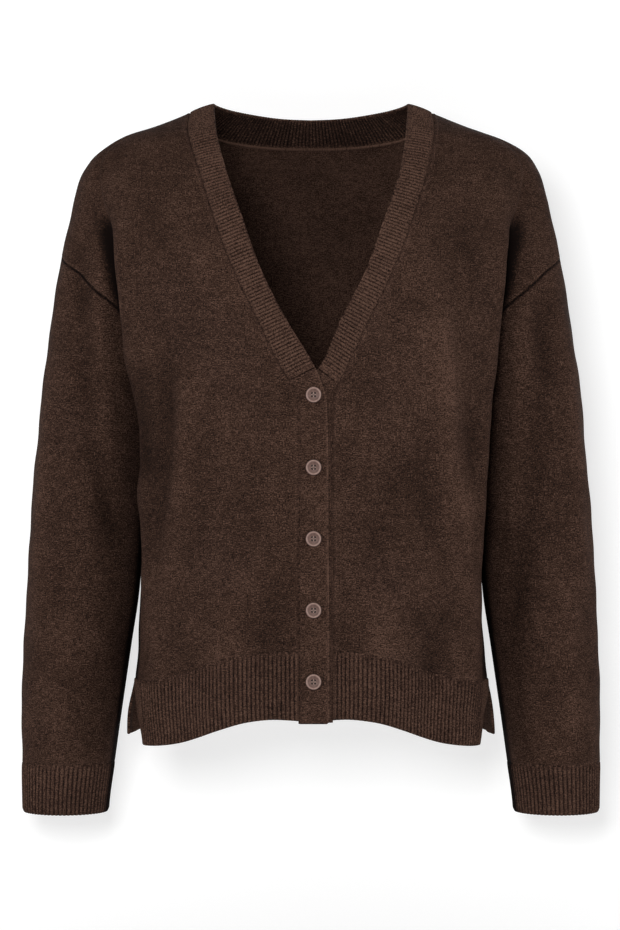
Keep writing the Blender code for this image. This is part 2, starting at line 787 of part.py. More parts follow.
def make_front_hem(name, side):
    column = "over_seam" if side < 0 else "under_seam"
    first = look_up(CLOSING, column, -530 * MM) + side * CLOSING_X + SEAM / 2
    start = knot_at_x(first, -530 * MM, -1)[0]
    knots, rise = even_knots(start, CREASE_KNOT, -1, "front_edge", (0, HEM_BORDER))
    rows = hem_places(knots, -1, ("front_seam", "front_edge"))
    middle, out = zip(*(with_normals(w, z, -1) for w, z in rows))
    middle, out = np.array(middle), np.array(out)
    middle = middle + out * lift(middle[..., 0], middle[..., 2], side)[..., None]
    points, faces = ribbed(*rib_layers(middle, out, rise), closed=False)
    add_piece(name, points if side > 0 else mirrored(points), faces)


def make_back_hem():
    knots, rise = even_knots(0, CREASE_KNOT, 1, "back_edge", (0, HEM_BORDER))
    rows = []
    for w, z in hem_places(knots, 1, ("back_seam", "back_edge")):
        places = np.column_stack([np.concatenate([-w[:0:-1], w]), np.concatenate([z[:0:-1], z])])
        rows.append(both_halves(places, 1))
    middle, out = zip(*rows)
    rise = np.concatenate([rise[:0:-1], rise])
    points, faces = ribbed(*rib_layers(np.array(middle), np.array(out), rise), closed=False)
    add_piece("hem_back", points, faces)


# ---- Neckband ----

NECK_PITCH = 3.15 * MM
NECK_END_OVER = (-257.5 * MM, -246 * MM)  # the heights of its end on the seam and on the edge
NECK_END_UNDER = (-260 * MM, -247 * MM)
NECKBAND_GAP = 0.45 * MM  # between its ribs' ends and the seam


def closing_line(side, column, z):
    """Points of the form along a seam or an edge of the closing."""
    x = closing_shift(z) + side * look_up(CLOSING, column, z)
    point, out = at_x(x, z)
    return point + out * lift(x, z, side)[:, None]


def length_of(points):
    return np.concatenate([[0], np.cumsum(np.linalg.norm(np.diff(points, axis=0), axis=1))])


def spread(points, along):
    """Points of a line at parts of its length."""
    lengths = length_of(points)
    return np.column_stack([np.interp(along * lengths[-1], lengths, points[:, i]) for i in range(3)])


def neckband_guides():
    """The seam and the free edge of the neckband, from its end over to its end under."""
    seams, edges = [], []
    for side, name, ends in ((-1, "over", NECK_END_OVER), (1, "under", NECK_END_UNDER)):
        seam_z = heights(ends[0], NECK_POINT, 4 * MM)
        edge_z = heights(ends[1], 0.9 * MM, 4 * MM)
        seams.append(closing_line(side, name + "_seam", seam_z))
        edges.append(closing_line(side, name + "_edge", edge_z))
    turn = np.linspace(94, 0, 40) * MM
    z = look_up(BACK_NECK, "seam_z", turn, by="turn")
    seam = at_x(look_up(BACK_NECK, "seam_x", turn, by="turn"), z, 1)[0]
    edge = np.column_stack([look_up(BACK_NECK, "edge_" + axis, turn, by="turn") for axis in "xyz"])
    seam_back = np.vstack([mirrored(seam), seam[::-1][1:]])
    edge_back = np.vstack([mirrored(edge), edge[::-1][1:]])
    return seams, edges, seam_back, edge_back


def make_neckband():
    seams, edges, seam_back, edge_back = neckband_guides()
    runs = [(seams[0], edges[0]), (seam_back, edge_back), (seams[1][::-1], edges[1][::-1])]
    seam_line, edge_line = [], []
    for number, (seam, edge) in enumerate(runs):
        ribs = round(length_of((seam + edge) / 2 if len(seam) == len(edge) else seam)[-1] / NECK_PITCH)
        along = np.linspace(0, 1, 2 * ribs + 1)
        if number:
            along = along[1:]
        seam_line.append(spread(seam, along))
        edge_line.append(spread(edge, along))
    seam_line, edge_line = np.vstack(seam_line), np.vstack(edge_line)
    way = np.gradient(edge_line + seam_line, axis=0)
    across = edge_line - seam_line
    out = np.cross(way, across)
    out /= np.linalg.norm(out, axis=1)[:, None]
    inward = across / np.linalg.norm(across, axis=1)[:, None]
    seam_line = seam_line + inward * NECKBAND_GAP
    middle = np.array([seam_line, edge_line])
    out = np.array([out, out])
    if out[0, 10, 1] > 0:
        out = -out
    rise = np.where(np.arange(middle.shape[1]) % 2 == 1, RIB_RISE, -RIB_RISE)
    points, faces = ribbed(*rib_layers(middle, out, rise), closed=False)
    add_piece("neckband", points, faces)


# ---- Button bands and buttons ----

BAND_END = -558.5 * MM
BAND_ROWS = 22
BAND_CORNER = 2.5 * MM  # how much the free corner is cut off
BAND_COLUMNS = (0, 0.34, 0.67, 1)  # parts of its width
BAND_CROWDING = 1.25  # over 1 sets the rows closer where the band bends


def make_band(name, side, column, ends, bottom):
    """A band from the end of the neckband down to the hem."""
    parts = np.linspace(0, 1, BAND_ROWS) ** BAND_CROWDING
    seam_z = ends[0] - 2 * SEAM + (bottom - ends[0]) * parts
    edge_z = ends[1] - 2 * SEAM + (bottom - ends[1]) * parts
    edge_z[-1] += BAND_CORNER
    seam_x = closing_shift(seam_z) + side * look_up(CLOSING, column + "_seam", seam_z)
    edge_x = closing_shift(edge_z) + side * look_up(CLOSING, column + "_edge", edge_z)
    seam_x = seam_x - side * SEAM
    rows = []
    for across in BAND_COLUMNS:
        x = seam_x + (edge_x - seam_x) * across
        z = seam_z + (edge_z - seam_z) * across
        if across in BAND_COLUMNS[1:-1]:
            z[-1] = bottom
        point, out = at_x(x, z)
        rows.append((point + out * lift(0, z, side)[:, None], out))
    middle = np.array([row[0] for row in rows])
    out = np.array([row[1] for row in rows])
    faces = grid_faces(len(BAND_COLUMNS), BAND_ROWS)
    outer = (middle + out * BAND_WALL / 2).reshape(-1, 3)
    inner = (middle - out * BAND_WALL / 2).reshape(-1, 3)
    points, faces = wall(outer, inner, faces)
    add_piece(name, points, faces)


BUTTONS = 5
FIRST_BUTTON = -269.5 * MM
BUTTON_PITCH = 63 * MM
BUTTON_HOLE = 0.8 * MM
HOLE_OFFSET = 1.25 * MM
BUTTON_SIDES = 20
HOLE_SIDES = 6
# The button's section: the radius and the height over its back at each turn of the profile
BUTTON = """
  5.8 0
  7.0 1.1
  6.9 2.0
  6.1 2.7
  4.6 1.9
"""


def ring(radius, height, sides, middle=(0, 0)):
    angle = (np.arange(sides) + 0.5) / sides * 2 * math.pi
    x, y = middle[0] + radius * np.cos(angle), middle[1] + radius * np.sin(angle)
    return np.column_stack([x, y, np.full(sides, height)])


def button_parts():
    """A turned disc with a raised rim, and the drill for its four holes, both along +Z."""
    rows = [[float(word) * MM for word in line.split()] for line in BUTTON.split("\n") if line.strip()]
    points = np.vstack([ring(radius, height, BUTTON_SIDES) for radius, height in rows])
    disc = bmesh.new()
    vertices = [disc.verts.new(point) for point in points]
    for a, b, c in grid_faces(len(rows), BUTTON_SIDES, closed=True):
        disc.faces.new((vertices[a], vertices[b], vertices[c]))
    disc.faces.new(vertices[:BUTTON_SIDES][::-1])
    disc.faces.new(vertices[-BUTTON_SIDES:])
    return disc


def make_button(number):
    z = np.array([FIRST_BUTTON - number * BUTTON_PITCH])
    point, out = at_x(np.array([CLOSING_X]), z)
    spot = point[0] + out[0] * (lift(0, z, -1)[0] + BAND_WALL / 2 + SEAM)
    disc = button_parts()
    for face in disc.faces:
        face.smooth = False
    forward = out[0]
    across = np.array([1.0, 0, 0]) - forward * forward[0]
    across /= np.linalg.norm(across)
    above = np.cross(forward, across)
    turn = np.column_stack([across, above, forward])
    holes = []
    for x, y in ((-1, -1), (1, -1), (1, 1), (-1, 1)):
        spots = [ring(BUTTON_HOLE, h * MM, HOLE_SIDES, (x * HOLE_OFFSET, y * HOLE_OFFSET)) for h in (-1, 4)]
        holes.append(np.vstack(spots))
    drill = bmesh.new()
    for hole in holes:
        vertices = [drill.verts.new(turn @ p + spot) for p in hole]
        for a, b, c in grid_faces(2, HOLE_SIDES, closed=True):
            drill.faces.new((vertices[a], vertices[b], vertices[c]))
        drill.faces.new(vertices[:HOLE_SIDES][::-1])
        drill.faces.new(vertices[HOLE_SIDES:])
    for vertex in disc.verts:
        vertex.co = turn @ np.array(vertex.co) + spot
    name = f"button_{number + 1}"
    meshes = []
    for label, build in ((name, disc), (name + "_holes", drill)):
        bmesh.ops.recalc_face_normals(build, faces=build.faces)
        mesh = bpy.data.meshes.new(label)
        build.to_mesh(mesh)
        build.free()
        meshes.append(mesh)
    obj = bpy.data.objects.new(name, meshes[0])
    meshes[0].materials.append(material(name, BUTTON_COLOUR, 0.35))
    garment.objects.link(obj)
    cutter = bpy.data.objects.new(name + "_holes", meshes[1])
    cutter.hide_render = True
    cutter.display_type = "WIRE"
    cutters.objects.link(cutter)
    cut = obj.modifiers.new("holes", "BOOLEAN")
    cut.operation = "DIFFERENCE"
    cut.solver = "EXACT"
    cut.object = cutter


cutters = bpy.data.collections.new("cutters")
clear_scene()
cutters.hide_render = True
bpy.context.scene.collection.children.link(cutters)

make_front("front_right", -1)
make_front("front_left", 1)
make_back()
for side, wearer in ((-1, "right"), (1, "left")):
    make_sleeve("sleeve_" + wearer, side)
    make_cuff("cuff_" + wearer, side)
    make_front_hem("hem_front_" + wearer, side)
make_back_hem()
make_neckband()
make_band("button_band", -1, "over", NECK_END_OVER, BAND_END)
make_band("under_band", 1, "under", NECK_END_UNDER, BAND_END + 1 * MM)
for number in range(BUTTONS):
    make_button(number)
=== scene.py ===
# %% [markdown]
# # A v-neck cardigan in fine knit
#
# The garment is filled out as if someone wore it, but it is hollow. It has two fronts, a back, two
# sleeves, and ribbed cuffs, hem and neckband, and it closes with five buttons. Each knitted piece is a
# thin wall with two faces and a rounded rim, so that the seams between them read as fine grooves.
#
# The lesson goes from the form to the folds, the walls, the yarn and the light. Sizes are in metres.

# %% The frame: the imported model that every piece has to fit
import json
import math

import bmesh
import bpy
import numpy as np
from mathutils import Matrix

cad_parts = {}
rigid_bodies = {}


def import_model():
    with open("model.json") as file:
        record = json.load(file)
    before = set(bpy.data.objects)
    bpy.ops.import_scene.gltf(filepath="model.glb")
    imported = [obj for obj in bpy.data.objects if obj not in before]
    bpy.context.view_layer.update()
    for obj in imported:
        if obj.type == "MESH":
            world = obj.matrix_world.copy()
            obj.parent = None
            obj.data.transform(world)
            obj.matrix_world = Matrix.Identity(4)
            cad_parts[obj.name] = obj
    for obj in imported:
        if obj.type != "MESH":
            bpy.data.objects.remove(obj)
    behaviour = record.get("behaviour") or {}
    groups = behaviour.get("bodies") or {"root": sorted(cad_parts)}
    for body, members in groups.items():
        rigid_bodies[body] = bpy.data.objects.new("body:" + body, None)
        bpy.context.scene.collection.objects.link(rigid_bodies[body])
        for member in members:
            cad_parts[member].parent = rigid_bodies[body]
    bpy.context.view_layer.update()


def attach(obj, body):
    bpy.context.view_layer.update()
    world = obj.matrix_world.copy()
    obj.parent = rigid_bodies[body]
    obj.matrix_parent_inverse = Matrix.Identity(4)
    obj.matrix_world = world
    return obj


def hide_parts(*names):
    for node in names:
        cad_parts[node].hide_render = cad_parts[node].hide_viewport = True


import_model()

MM = 0.001

# %% [markdown]
# ## The form under the cloth
#
# A garment like this is a few flat shapes sewn together, and what shows is where that cloth lies in
# space. So the form comes first: at each height it is half an oval for the trunk, a fold in front of
# the arm, and an oval for the arm. One table gives the front, one the back and one the arm. A point of
# the cloth is then named by how far it lies along that section and at which height.

# %% Tables of the form, in millimetres
FRONT = """
z ridge_x ridge_y depth side_x side_y
  10   58 14  34 142 12
   0   82 18  38 142 12
  -8   99 20  41 142 12
 -20  126 26  48 142 12
 -32  158 31  62 142 12
 -45  178 36  71 142 12
 -60  184 40  82 142 12
 -85  184 47  96 142 12
-110  179 52 106 142 12
-140  175.5 55 113 142 12
-175  172 58 120 142 12
-205  169 60 124 142 12
-235  167 61 126 142 12
-238  166.7 61 126 138.8 12
-245  166 61 126 137.5 12
-275  162.5 60 126 138.5 12
-350  157.5 57 120 146 11
-425  152 52 116 150.5 8
-455  150 51 115.5 153 5
-500  150 51 116 157 0
-516  150 51.5 116.5 158.5 -1.5
-527  150 52 117 159.3 -3
-540  149.5 52.5 117 158 -12
-560  148 53 117.5 153.5 -25
-590  146 55 118 147 -38
"""
BACK = """
z ridge_x ridge_y depth side_x side_y
  10   58 14  34 142 12
   0   82 18  40 142 12
  -8   99 20  46 142 12
 -20  124 27  56 142 12
 -32  154 34  64 142 12
 -45  172 41  72 142 12
 -60  180 46  79 142 12
 -85  176 56  88 142 12
-110  168 62  94 142 12
-140  160 66  99 142 12
-175  154 67 101 142 12
-205  151 66 101 142 12
-235  149 65 100 142 12
-238  149 65 100 138.8 12
-245  149 64 100 137.5 12
-275  147 62  97 138.5 12
-350  145 60  94 146 11
-425  146 58  96 150.5 8
-455  148 57  98 153 5
-500  151 56 101 157 0
-516  152 55.5 102 158.5 -1.5
-527  153 55 103 159.3 -3
-555  155 54 104 163.5 -7
-590  157 52 105 166 -10
"""
ARM = """
z outer half_w half_d centre_y
  10   66   12   26  0
   0   91   18   30  0
  -8  109   22   32  0
 -20  138   28   34  0
 -32  172   34   36  0
 -45  195   38   39  0
 -60  207.5 40   42  1
 -85  216   44   46  3
-110  222   46   50  6
-140  228.5 48   53  9
-175  235.6 49   55 11
-205  240   50   56 12
-225  242.8 50.7 56 12
-235  244   51   56 12
-238  244.4 49.6 56 12
-245  245.2 49.3 56 12
-275  248.6 50.2 55 12
-350  255.7 51.4 53 12
-425  260.6 51.6 50 11
-455  262   50.8 48.5 10
-490  263.8 49   47 10
-530  265.2 46.8 44.5 9
-566  265.8 44.5 42 9
-604  265.6 41.8 39.5 8
-640  265   39   37.5 8
-660  264.5 38   36.5 8
"""
# How far round the arm from its inner side, in degrees, lie the sleeve's seam and the crease
# between the trunk and the arm.
ARMHOLE = """
z seam crease
  10  180 152
  -8  180 150
 -32  180 142
 -60  180 125
 -85  180 112
-110  180  96
-136  180  80
-146  150  74.5
-154  130  70.5
-166  110  66
-176   95  61.5
-187   78  55
-200   60  47
-212   42  36
-225   22  18
-235    0   0
"""
# The seams and the free edges of the neckband and the button bands, from the closing's middle.
CLOSING = """
z over_seam under_seam over_edge under_edge
  -5  110.3 110.3  88  88
  -9  110.3 110.3  87.6 87.6
 -24  111.7 111.7  86  86
 -45  108   108    82.5 82.5
 -67  102   102    77.5 77.5
-112   88    88    62.5 62.5
-162   69    69    44.5 44.5
-205   48    48    22.5 22.5
-246   28    29    -1.6 4
-254   23    25    -5  -2.5
-262   18    21    -8  -6.5
-272   14.5  18   -11 -8.5
-290   13    17   -12  -9
-380   13    17   -13  -9
-565   13    17   -14  -9
"""
BACK_NECK = """
turn seam_x seam_z edge_x edge_y edge_z
  0     0  -33    0   60  -6.4
 20    30  -32.5 25   57  -5.7
 40    60  -30   48   48  -4
 60    87  -25   70   32  -2
 80   104  -15   83   14  -0.5
 94   110.3 -8.5 88    0   0
"""
# The height of the ribs' seam and of the free edge by the distance from the middle
HEM = """
x front_seam front_edge back_seam back_edge
  0  -495.5 -556.5 -510 -570
 40  -496.5 -555.5 -511 -570
 60  -499.5 -558.6 -512 -570.5
 80  -504.5 -565   -515 -572
100  -512   -572.5 -518 -574
120  -519   -579   -521.5 -575.5
145  -525   -583.5 -525 -577
170  -527   -585   -527 -578
"""


def table_rows(text):
    """The names in a table's first line, and its rows of numbers in metres."""
    heading, *lines = text.strip().split("\n")
    return heading.split(), np.array([[float(word) for word in line.split()] for line in lines]) * MM


def read_table(text):
    """Columns by name, lowest row first."""
    names, rows = table_rows(text)
    rows = rows[np.argsort(rows[:, 0], kind="stable")]
    return dict(zip(names, rows.T))


FRONT, BACK, ARM, ARMHOLE, CLOSING, BACK_NECK, HEM = (
    read_table(text) for text in (FRONT, BACK, ARM, ARMHOLE, CLOSING, BACK_NECK, HEM)
)
NECK_POINT = -8.5 * MM
SHOULDER_TIP = -136 * MM
ARMPIT = -235 * MM
VENT_TOP = -527 * MM
CUFF_SEAM = -604 * MM
CUFF_END = -650 * MM
CLOSING_X = 2.2 * MM
# Below 0: the pieces of the scene just meet at a seam, so that no light comes through.
SEAM = -0.1 * MM
BUTTON_STANDS = 0.3 * MM
print("tables", len(FRONT["z"]), "front rows,", len(ARM["z"]), "arm rows")

# %% [markdown]
# Between its rows a table is read with a smooth cubic, so that the form has no kinks. The section at a
# height is a smooth line through its knots: five on the trunk, two in the fold, one in the crease
# between trunk and arm, and six round the arm.

# %% Sections of the form
TRUNK_POWER = 0.87
RIDGE_ANGLE = math.radians(64)
TRUNK_STEPS, FOLD_STEPS, ARM_STEPS = 4, 3, 6
CREASE_KNOT = TRUNK_STEPS + FOLD_STEPS
FOLD_OPENING = 0.7
FINENESS = 12
NEST = (-470 * MM, -300 * MM)
SIDE_BULGE = 3 * MM
VENT_BLEND = 5 * MM
LEVELS = np.arange(10, -666, -1) * MM


def look_up(table, column, at, by="z"):
    """A cubic through the table's points, each point's slope taken from its neighbours."""
    knots, values = table[by], table[column]
    at = np.clip(np.asarray(at, float), knots[0], knots[-1])
    slopes = np.gradient(values, knots)
    i = np.clip(np.searchsorted(knots, at) - 1, 0, len(knots) - 2)
    step = knots[i + 1] - knots[i]
    t = (at - knots[i]) / step
    start = (1 + 2 * t) * (1 - t) ** 2 * values[i] + t * (1 - t) ** 2 * step * slopes[i]
    end = t * t * (3 - 2 * t) * values[i + 1] + t * t * (t - 1) * step * slopes[i + 1]
    return start + end


def ease(low, high, value):
    """0 below low, 1 above high, and 3t^2 - 2t^3 between."""
    t = np.clip((np.asarray(value, float) - low) / (high - low), 0, 1)
    return t * t * (3 - 2 * t)


def bell(value):
    """exp(-value^2): 1 at 0, and next to nothing beyond 2."""
    return np.exp(-(value**2))


def armhole_angle(column, z):
    """An angle round the arm, in radians, that the armhole's table gives in degrees."""
    return np.radians(np.clip(look_up(ARMHOLE, column, z) / MM, 0, 180))


def arm_point(z, angle, toward):
    """The arm's oval: x = centre - half_w cos(angle), y = centre + toward half_d sin(angle)."""
    half_w = look_up(ARM, "half_w", z)
    x = look_up(ARM, "outer", z) - half_w - half_w * np.cos(angle)
    y = look_up(ARM, "centre_y", z) + toward * look_up(ARM, "half_d", z) * np.sin(angle)
    return np.stack([x, y], -1)


def section_knots(z, toward):
    """Half a section: a squarish oval, x = ridge (sin a)^p and y = depth (cos a)^q, then fold and arm."""
    table = FRONT if toward < 0 else BACK
    ridge = np.stack([look_up(table, "ridge_x", z), toward * look_up(table, "ridge_y", z)], -1)
    depth = look_up(table, "depth", z)
    side = np.stack([look_up(table, "side_x", z), look_up(table, "side_y", z)], -1)
    low = (z > ARMPIT)[:, None]
    crease = np.where(low, arm_point(z, armhole_angle("crease", z), toward), side)
    flatness = np.log(abs(ridge[:, 1]) / depth) / math.log(math.cos(RIDGE_ANGLE))
    knots = []
    for angle in np.linspace(0, RIDGE_ANGLE, TRUNK_STEPS + 1):
        x = ridge[:, 0] * (math.sin(angle) / math.sin(RIDGE_ANGLE)) ** TRUNK_POWER
        knots.append(np.stack([x, toward * depth * math.cos(angle) ** flatness], -1))
    half_w, half_d = look_up(ARM, "half_w", z), look_up(ARM, "half_d", z)
    centre = np.stack([look_up(ARM, "outer", z) - half_w, look_up(ARM, "centre_y", z)], -1)

    def polar(point):
        across = (centre[:, 0] - point[:, 0]) / half_w
        along = toward * (point[:, 1] - centre[:, 1]) / half_d
        return np.arctan2(along, across), np.hypot(along, across)

    ridge_turn, ridge_size = polar(ridge)
    crease_turn, crease_size = polar(crease)
    nest = ease(*NEST, z)[:, None]
    for step in range(1, FOLD_STEPS):
        part = step / FOLD_STEPS
        turn = ridge_turn + (crease_turn - ridge_turn) * part
        size = crease_size + (ridge_size - crease_size) * (1 - part) ** FOLD_OPENING
        oval = np.stack([-size * half_w * np.cos(turn), toward * size * half_d * np.sin(turn)], -1)
        plain = ridge + (crease - ridge) * part + np.array([SIDE_BULGE * 4 * part * (1 - part), 0])
        knots.append(nest * (centre + oval) + (1 - nest) * plain)
    knots.append(crease)
    for step in range(1, ARM_STEPS + 1):
        turn = armhole_angle("crease", z)
        turn = turn + (math.pi - turn) * step / ARM_STEPS
        knots.append(np.where(low, arm_point(z, turn, toward), side))
    return np.stack(knots, 1)


def sections(z, toward):
    """A smooth line through the knots at each height, and the distance along it."""
    knots = section_knots(z, toward)
    spans = np.diff(knots, axis=1)
    lengths = np.maximum(np.linalg.norm(spans, axis=2), 1e-6)[..., None]
    ways = spans / lengths
    slopes = np.empty_like(knots)
    before, after = lengths[:, :-1], lengths[:, 1:]
    slopes[:, 1:-1] = (before * ways[:, 1:] + after * ways[:, :-1]) / (before + after)
    slopes[:, 0] = (1, 0)
    slopes[:, -1] = (0, -toward)
    vent = VENT_TOP - VENT_BLEND
    closed = ((z <= ARMPIT) & (z >= vent))[:, None]
    loose = (z < vent)[:, None]
    at_side = np.where(closed, np.array([0, -toward]), slopes[:, CREASE_KNOT])
    slopes[:, CREASE_KNOT] = np.where(loose, ways[:, CREASE_KNOT - 1], at_side)
    t = (np.arange(FINENESS) / FINENESS)[None, None, :, None]
    a, b, run = knots[:, :-1, None], knots[:, 1:, None], lengths[:, :, None]
    line = (1 + 2 * t) * (1 - t) ** 2 * a + t * (1 - t) ** 2 * run * slopes[:, :-1, None]
    line = line + t * t * (3 - 2 * t) * b + t * t * (t - 1) * run * slopes[:, 1:, None]
    line = np.concatenate([line.reshape(len(z), -1, 2), knots[:, -1:]], 1)
    steps = np.linalg.norm(np.diff(line, axis=1), axis=2)
    return line, np.concatenate([np.zeros((len(z), 1)), np.cumsum(steps, 1)], 1)


FORM = {toward: sections(LEVELS, toward) for toward in (-1, 1)}


def level_of(z):
    """A height as a row of the form, whole part and share of the next."""
    row = np.clip((LEVELS[0] - z) / MM, 0, len(LEVELS) - 1.001)
    return row.astype(int), row - row.astype(int)


def on_form(w, z, toward):
    """The form's point at distance w along the section at height z, and its knot as a number."""
    w, z = np.broadcast_arrays(np.asarray(w, float), np.asarray(z, float))
    flat_w, flat_z = w.ravel(), z.ravel()
    row, share = level_of(flat_z)
    line, along = FORM[toward]
    points, knots = [], []
    for r in (row, row + 1):
        lengths = along[r]
        i = np.clip((lengths < flat_w[:, None]).sum(1) - 1, 0, along.shape[1] - 2)
        n = np.arange(len(r))
        step = np.maximum(lengths[n, i + 1] - lengths[n, i], 1e-9)
        part = np.clip((flat_w - lengths[n, i]) / step, 0, 1)
        points.append(line[r, i] * (1 - part)[:, None] + line[r, i + 1] * part[:, None])
        knots.append((i + part) / FINENESS)
    xy = points[0] * (1 - share)[:, None] + points[1] * share[:, None]
    knot = knots[0] * (1 - share) + knots[1] * share
    place = np.column_stack([xy, flat_z]).reshape(*w.shape, 3)
    return place, knot.reshape(w.shape)


def at_knot(knot, z, toward):
    """How far along the section a knot lies."""
    z = np.atleast_1d(np.asarray(z, float))
    knot = np.broadcast_to(np.asarray(knot, float), z.shape)
    place = np.clip(knot * FINENESS, 0, (CREASE_KNOT + ARM_STEPS) * FINENESS - 0.001)
    i = place.astype(int)
    part = place - i
    along = FORM[toward][1]
    r, share = level_of(z)
    near = along[r, i] * (1 - part) + along[r, i + 1] * part
    far = along[r + 1, i] * (1 - part) + along[r + 1, i + 1] * part
    return near * (1 - share) + far * share


def at_x(x, z, toward):
    """How far along the section the trunk passes a given x, which is above 0."""
    z = np.atleast_1d(np.asarray(z, float))
    x = np.broadcast_to(np.asarray(x, float), z.shape)
    line, along = FORM[toward]
    row, share = level_of(z)
    n = np.arange(len(row))
    found = []
    for r in (row, row + 1):
        reached = np.maximum.accumulate(line[r, :, 0], axis=1)
        i = np.clip((reached < x[:, None]).sum(1) - 1, 0, line.shape[1] - 2)
        step = np.maximum(reached[n, i + 1] - reached[n, i], 1e-9)
        part = np.clip((x - reached[n, i]) / step, 0, 1)
        found.append(along[r, i] * (1 - part) + along[r, i + 1] * part)
    return found[0] * (1 - share) + found[1] * share


print("form", FORM[-1][0].shape, "front points,", FORM[1][0].shape, "back points")

# %% [markdown]
# ## Folds placed one by one
#
# Knit this fine falls in few, long and soft folds: a slack ridge from the bust to the hem, shallow
# flutes over the hem, and a long trough down each sleeve. Each fold is one row of a table: a bent path
# from start to end, a width on either side and a height, which is below 0 for a trough. The height
# fades in and out along the path, and a slow wave makes it uneven. The path's b is the height. Its a is x
# on the trunk, and on an arm the distance round it from its inner side, above 0 at the front.

# %% Tables of the folds, in millimetres
FRONT_FOLDS = """
a0 b0 am bm a1 b1 inner outer height
-124 -200 -124 -290 -142 -430  18  9 -6.0
-106 -225 -110 -300 -116 -400  14 10  2.6
-163 -235 -160 -290 -153 -365  12 14 -6.0
 120 -160  112 -270  130 -370  18  9  5.0
 128 -330  136 -390  146 -470  16  9  4.5
 100 -280   98 -330  112 -420  14 10 -2.6
 142 -260  144 -310  148 -360   8 10 -3.2
  84 -300   60 -360   50 -440  12 18 -1.8
 -30  -60  -70 -130 -106 -180  18 16  1.3
 -60 -150  -92 -220 -100 -300  16 18  1.6
  70 -110   98 -150  118 -200  16 18  2.2
 104 -170   84 -240   76 -330  14 22  1.5
 -38 -430  -36 -480  -40 -600  17 19 -3.4
 -82 -400  -80 -480  -74 -620  16 18  2.8
-118 -450 -116 -500 -112 -620  12 14 -2.2
-140 -430 -138 -520 -138 -600   9 10  2.0
  30 -440   31 -500   30 -620  10 15 -3.0
  64 -380   62 -480   66 -620  17 17  2.8
 108 -440  108 -520  110 -620  14 14 -3.4
 142 -450  140 -530  138 -620  12 12  3.0
-150  -60 -140 -110 -118 -160  14 16 -1.2
 150  -70  142 -120  122 -180  14 16 -1.2
"""
BACK_FOLDS = """
a0 b0 am bm a1 b1 inner outer height
 -95  -90 -100 -250  -88 -470  18 22 -3.4
  88 -100   98 -260   92 -480  20 18 -3.6
 -50 -300  -46 -420  -52 -620  16 18  2.8
  44 -330   50 -450   44 -620  18 16  3.0
   0 -420    4 -500   -2 -620  14 14 -2.6
 -98 -420 -100 -520 -104 -620  13 14 -2.8
  96 -440   98 -520  104 -620  14 13 -2.6
-128 -260 -124 -330 -100 -400  14 16 -2.6
 130 -250  126 -320  104 -390  14 16 -2.4
  10 -140   30 -170   80 -150  14 16  1.6
 -12 -190  -44 -215  -86 -190  14 16  1.4
"""
RIGHT_ARM_FOLDS = """
a0 b0 am bm a1 b1 inner outer height
 111 -130   90 -220   76 -300  10 12 -3.6
  76 -270   70 -330   46 -420  12 12 -3.4
  93 -130   80 -190   69 -260  10  8  2.4
  69 -240   66 -290   60 -340  10  8  1.8
 124 -220  126 -330  120 -480  13 13  2.4
  60 -440   74 -460  104 -450   9 10 -1.3
  52 -520   70 -535  100 -520  10 10 -1.4
  92 -470   88 -540   84 -640  16 16  1.8
 -92 -160  -94 -280  -86 -450  12 12 -3.0
-124 -260 -126 -340 -118 -460  13 13  2.2
 -62 -390  -78 -415 -108 -395   9 10 -1.6
 -60 -500  -80 -520 -104 -500  10 10 -1.4
"""
LEFT_ARM_FOLDS = """
a0 b0 am bm a1 b1 inner outer height
 108 -150   90 -260   78 -350  12 12 -3.8
  82 -300   66 -400   42 -500  13 14 -3.6
  96 -140   74 -220   60 -300   9  9  2.6
  60 -280   54 -340   50 -400   9 10  2.0
 122 -200  124 -310  116 -450  12 12  3.4
 104 -420  100 -500   92 -620  13 14  2.2
  54 -440   74 -460  100 -450   9 10 -1.2
 -90 -150  -92 -270  -88 -470  12 12 -3.0
-122 -290 -124 -360 -118 -480  13 13  2.0
 -60 -375  -76 -400 -104 -385   9 10 -1.6
 -58 -520  -78 -535 -104 -520  10 10 -1.4
"""
FRONT_FOLDS, BACK_FOLDS, RIGHT_ARM_FOLDS, LEFT_ARM_FOLDS = (
    table_rows(text)[1] for text in (FRONT_FOLDS, BACK_FOLDS, RIGHT_ARM_FOLDS, LEFT_ARM_FOLDS)
)
WANDER, UNEVEN = 0.12, 0.22
FADE_IN, FADE_OUT = (-0.05, 0.35), (-0.05, 0.3)
RIPPLES = 9
draw = np.random.default_rng(7)
RIPPLE_WAYS = draw.normal(size=(RIPPLES, 3)) * (1, 1, 0.7)
RIPPLE_WAYS /= np.linalg.norm(RIPPLE_WAYS, axis=1)[:, None]
RIPPLE_LENGTHS = draw.uniform(30, 80, RIPPLES) * MM
RIPPLE_PHASES = draw.uniform(0, 2 * math.pi, RIPPLES)
RIPPLE_HEIGHT = 0.22 * MM


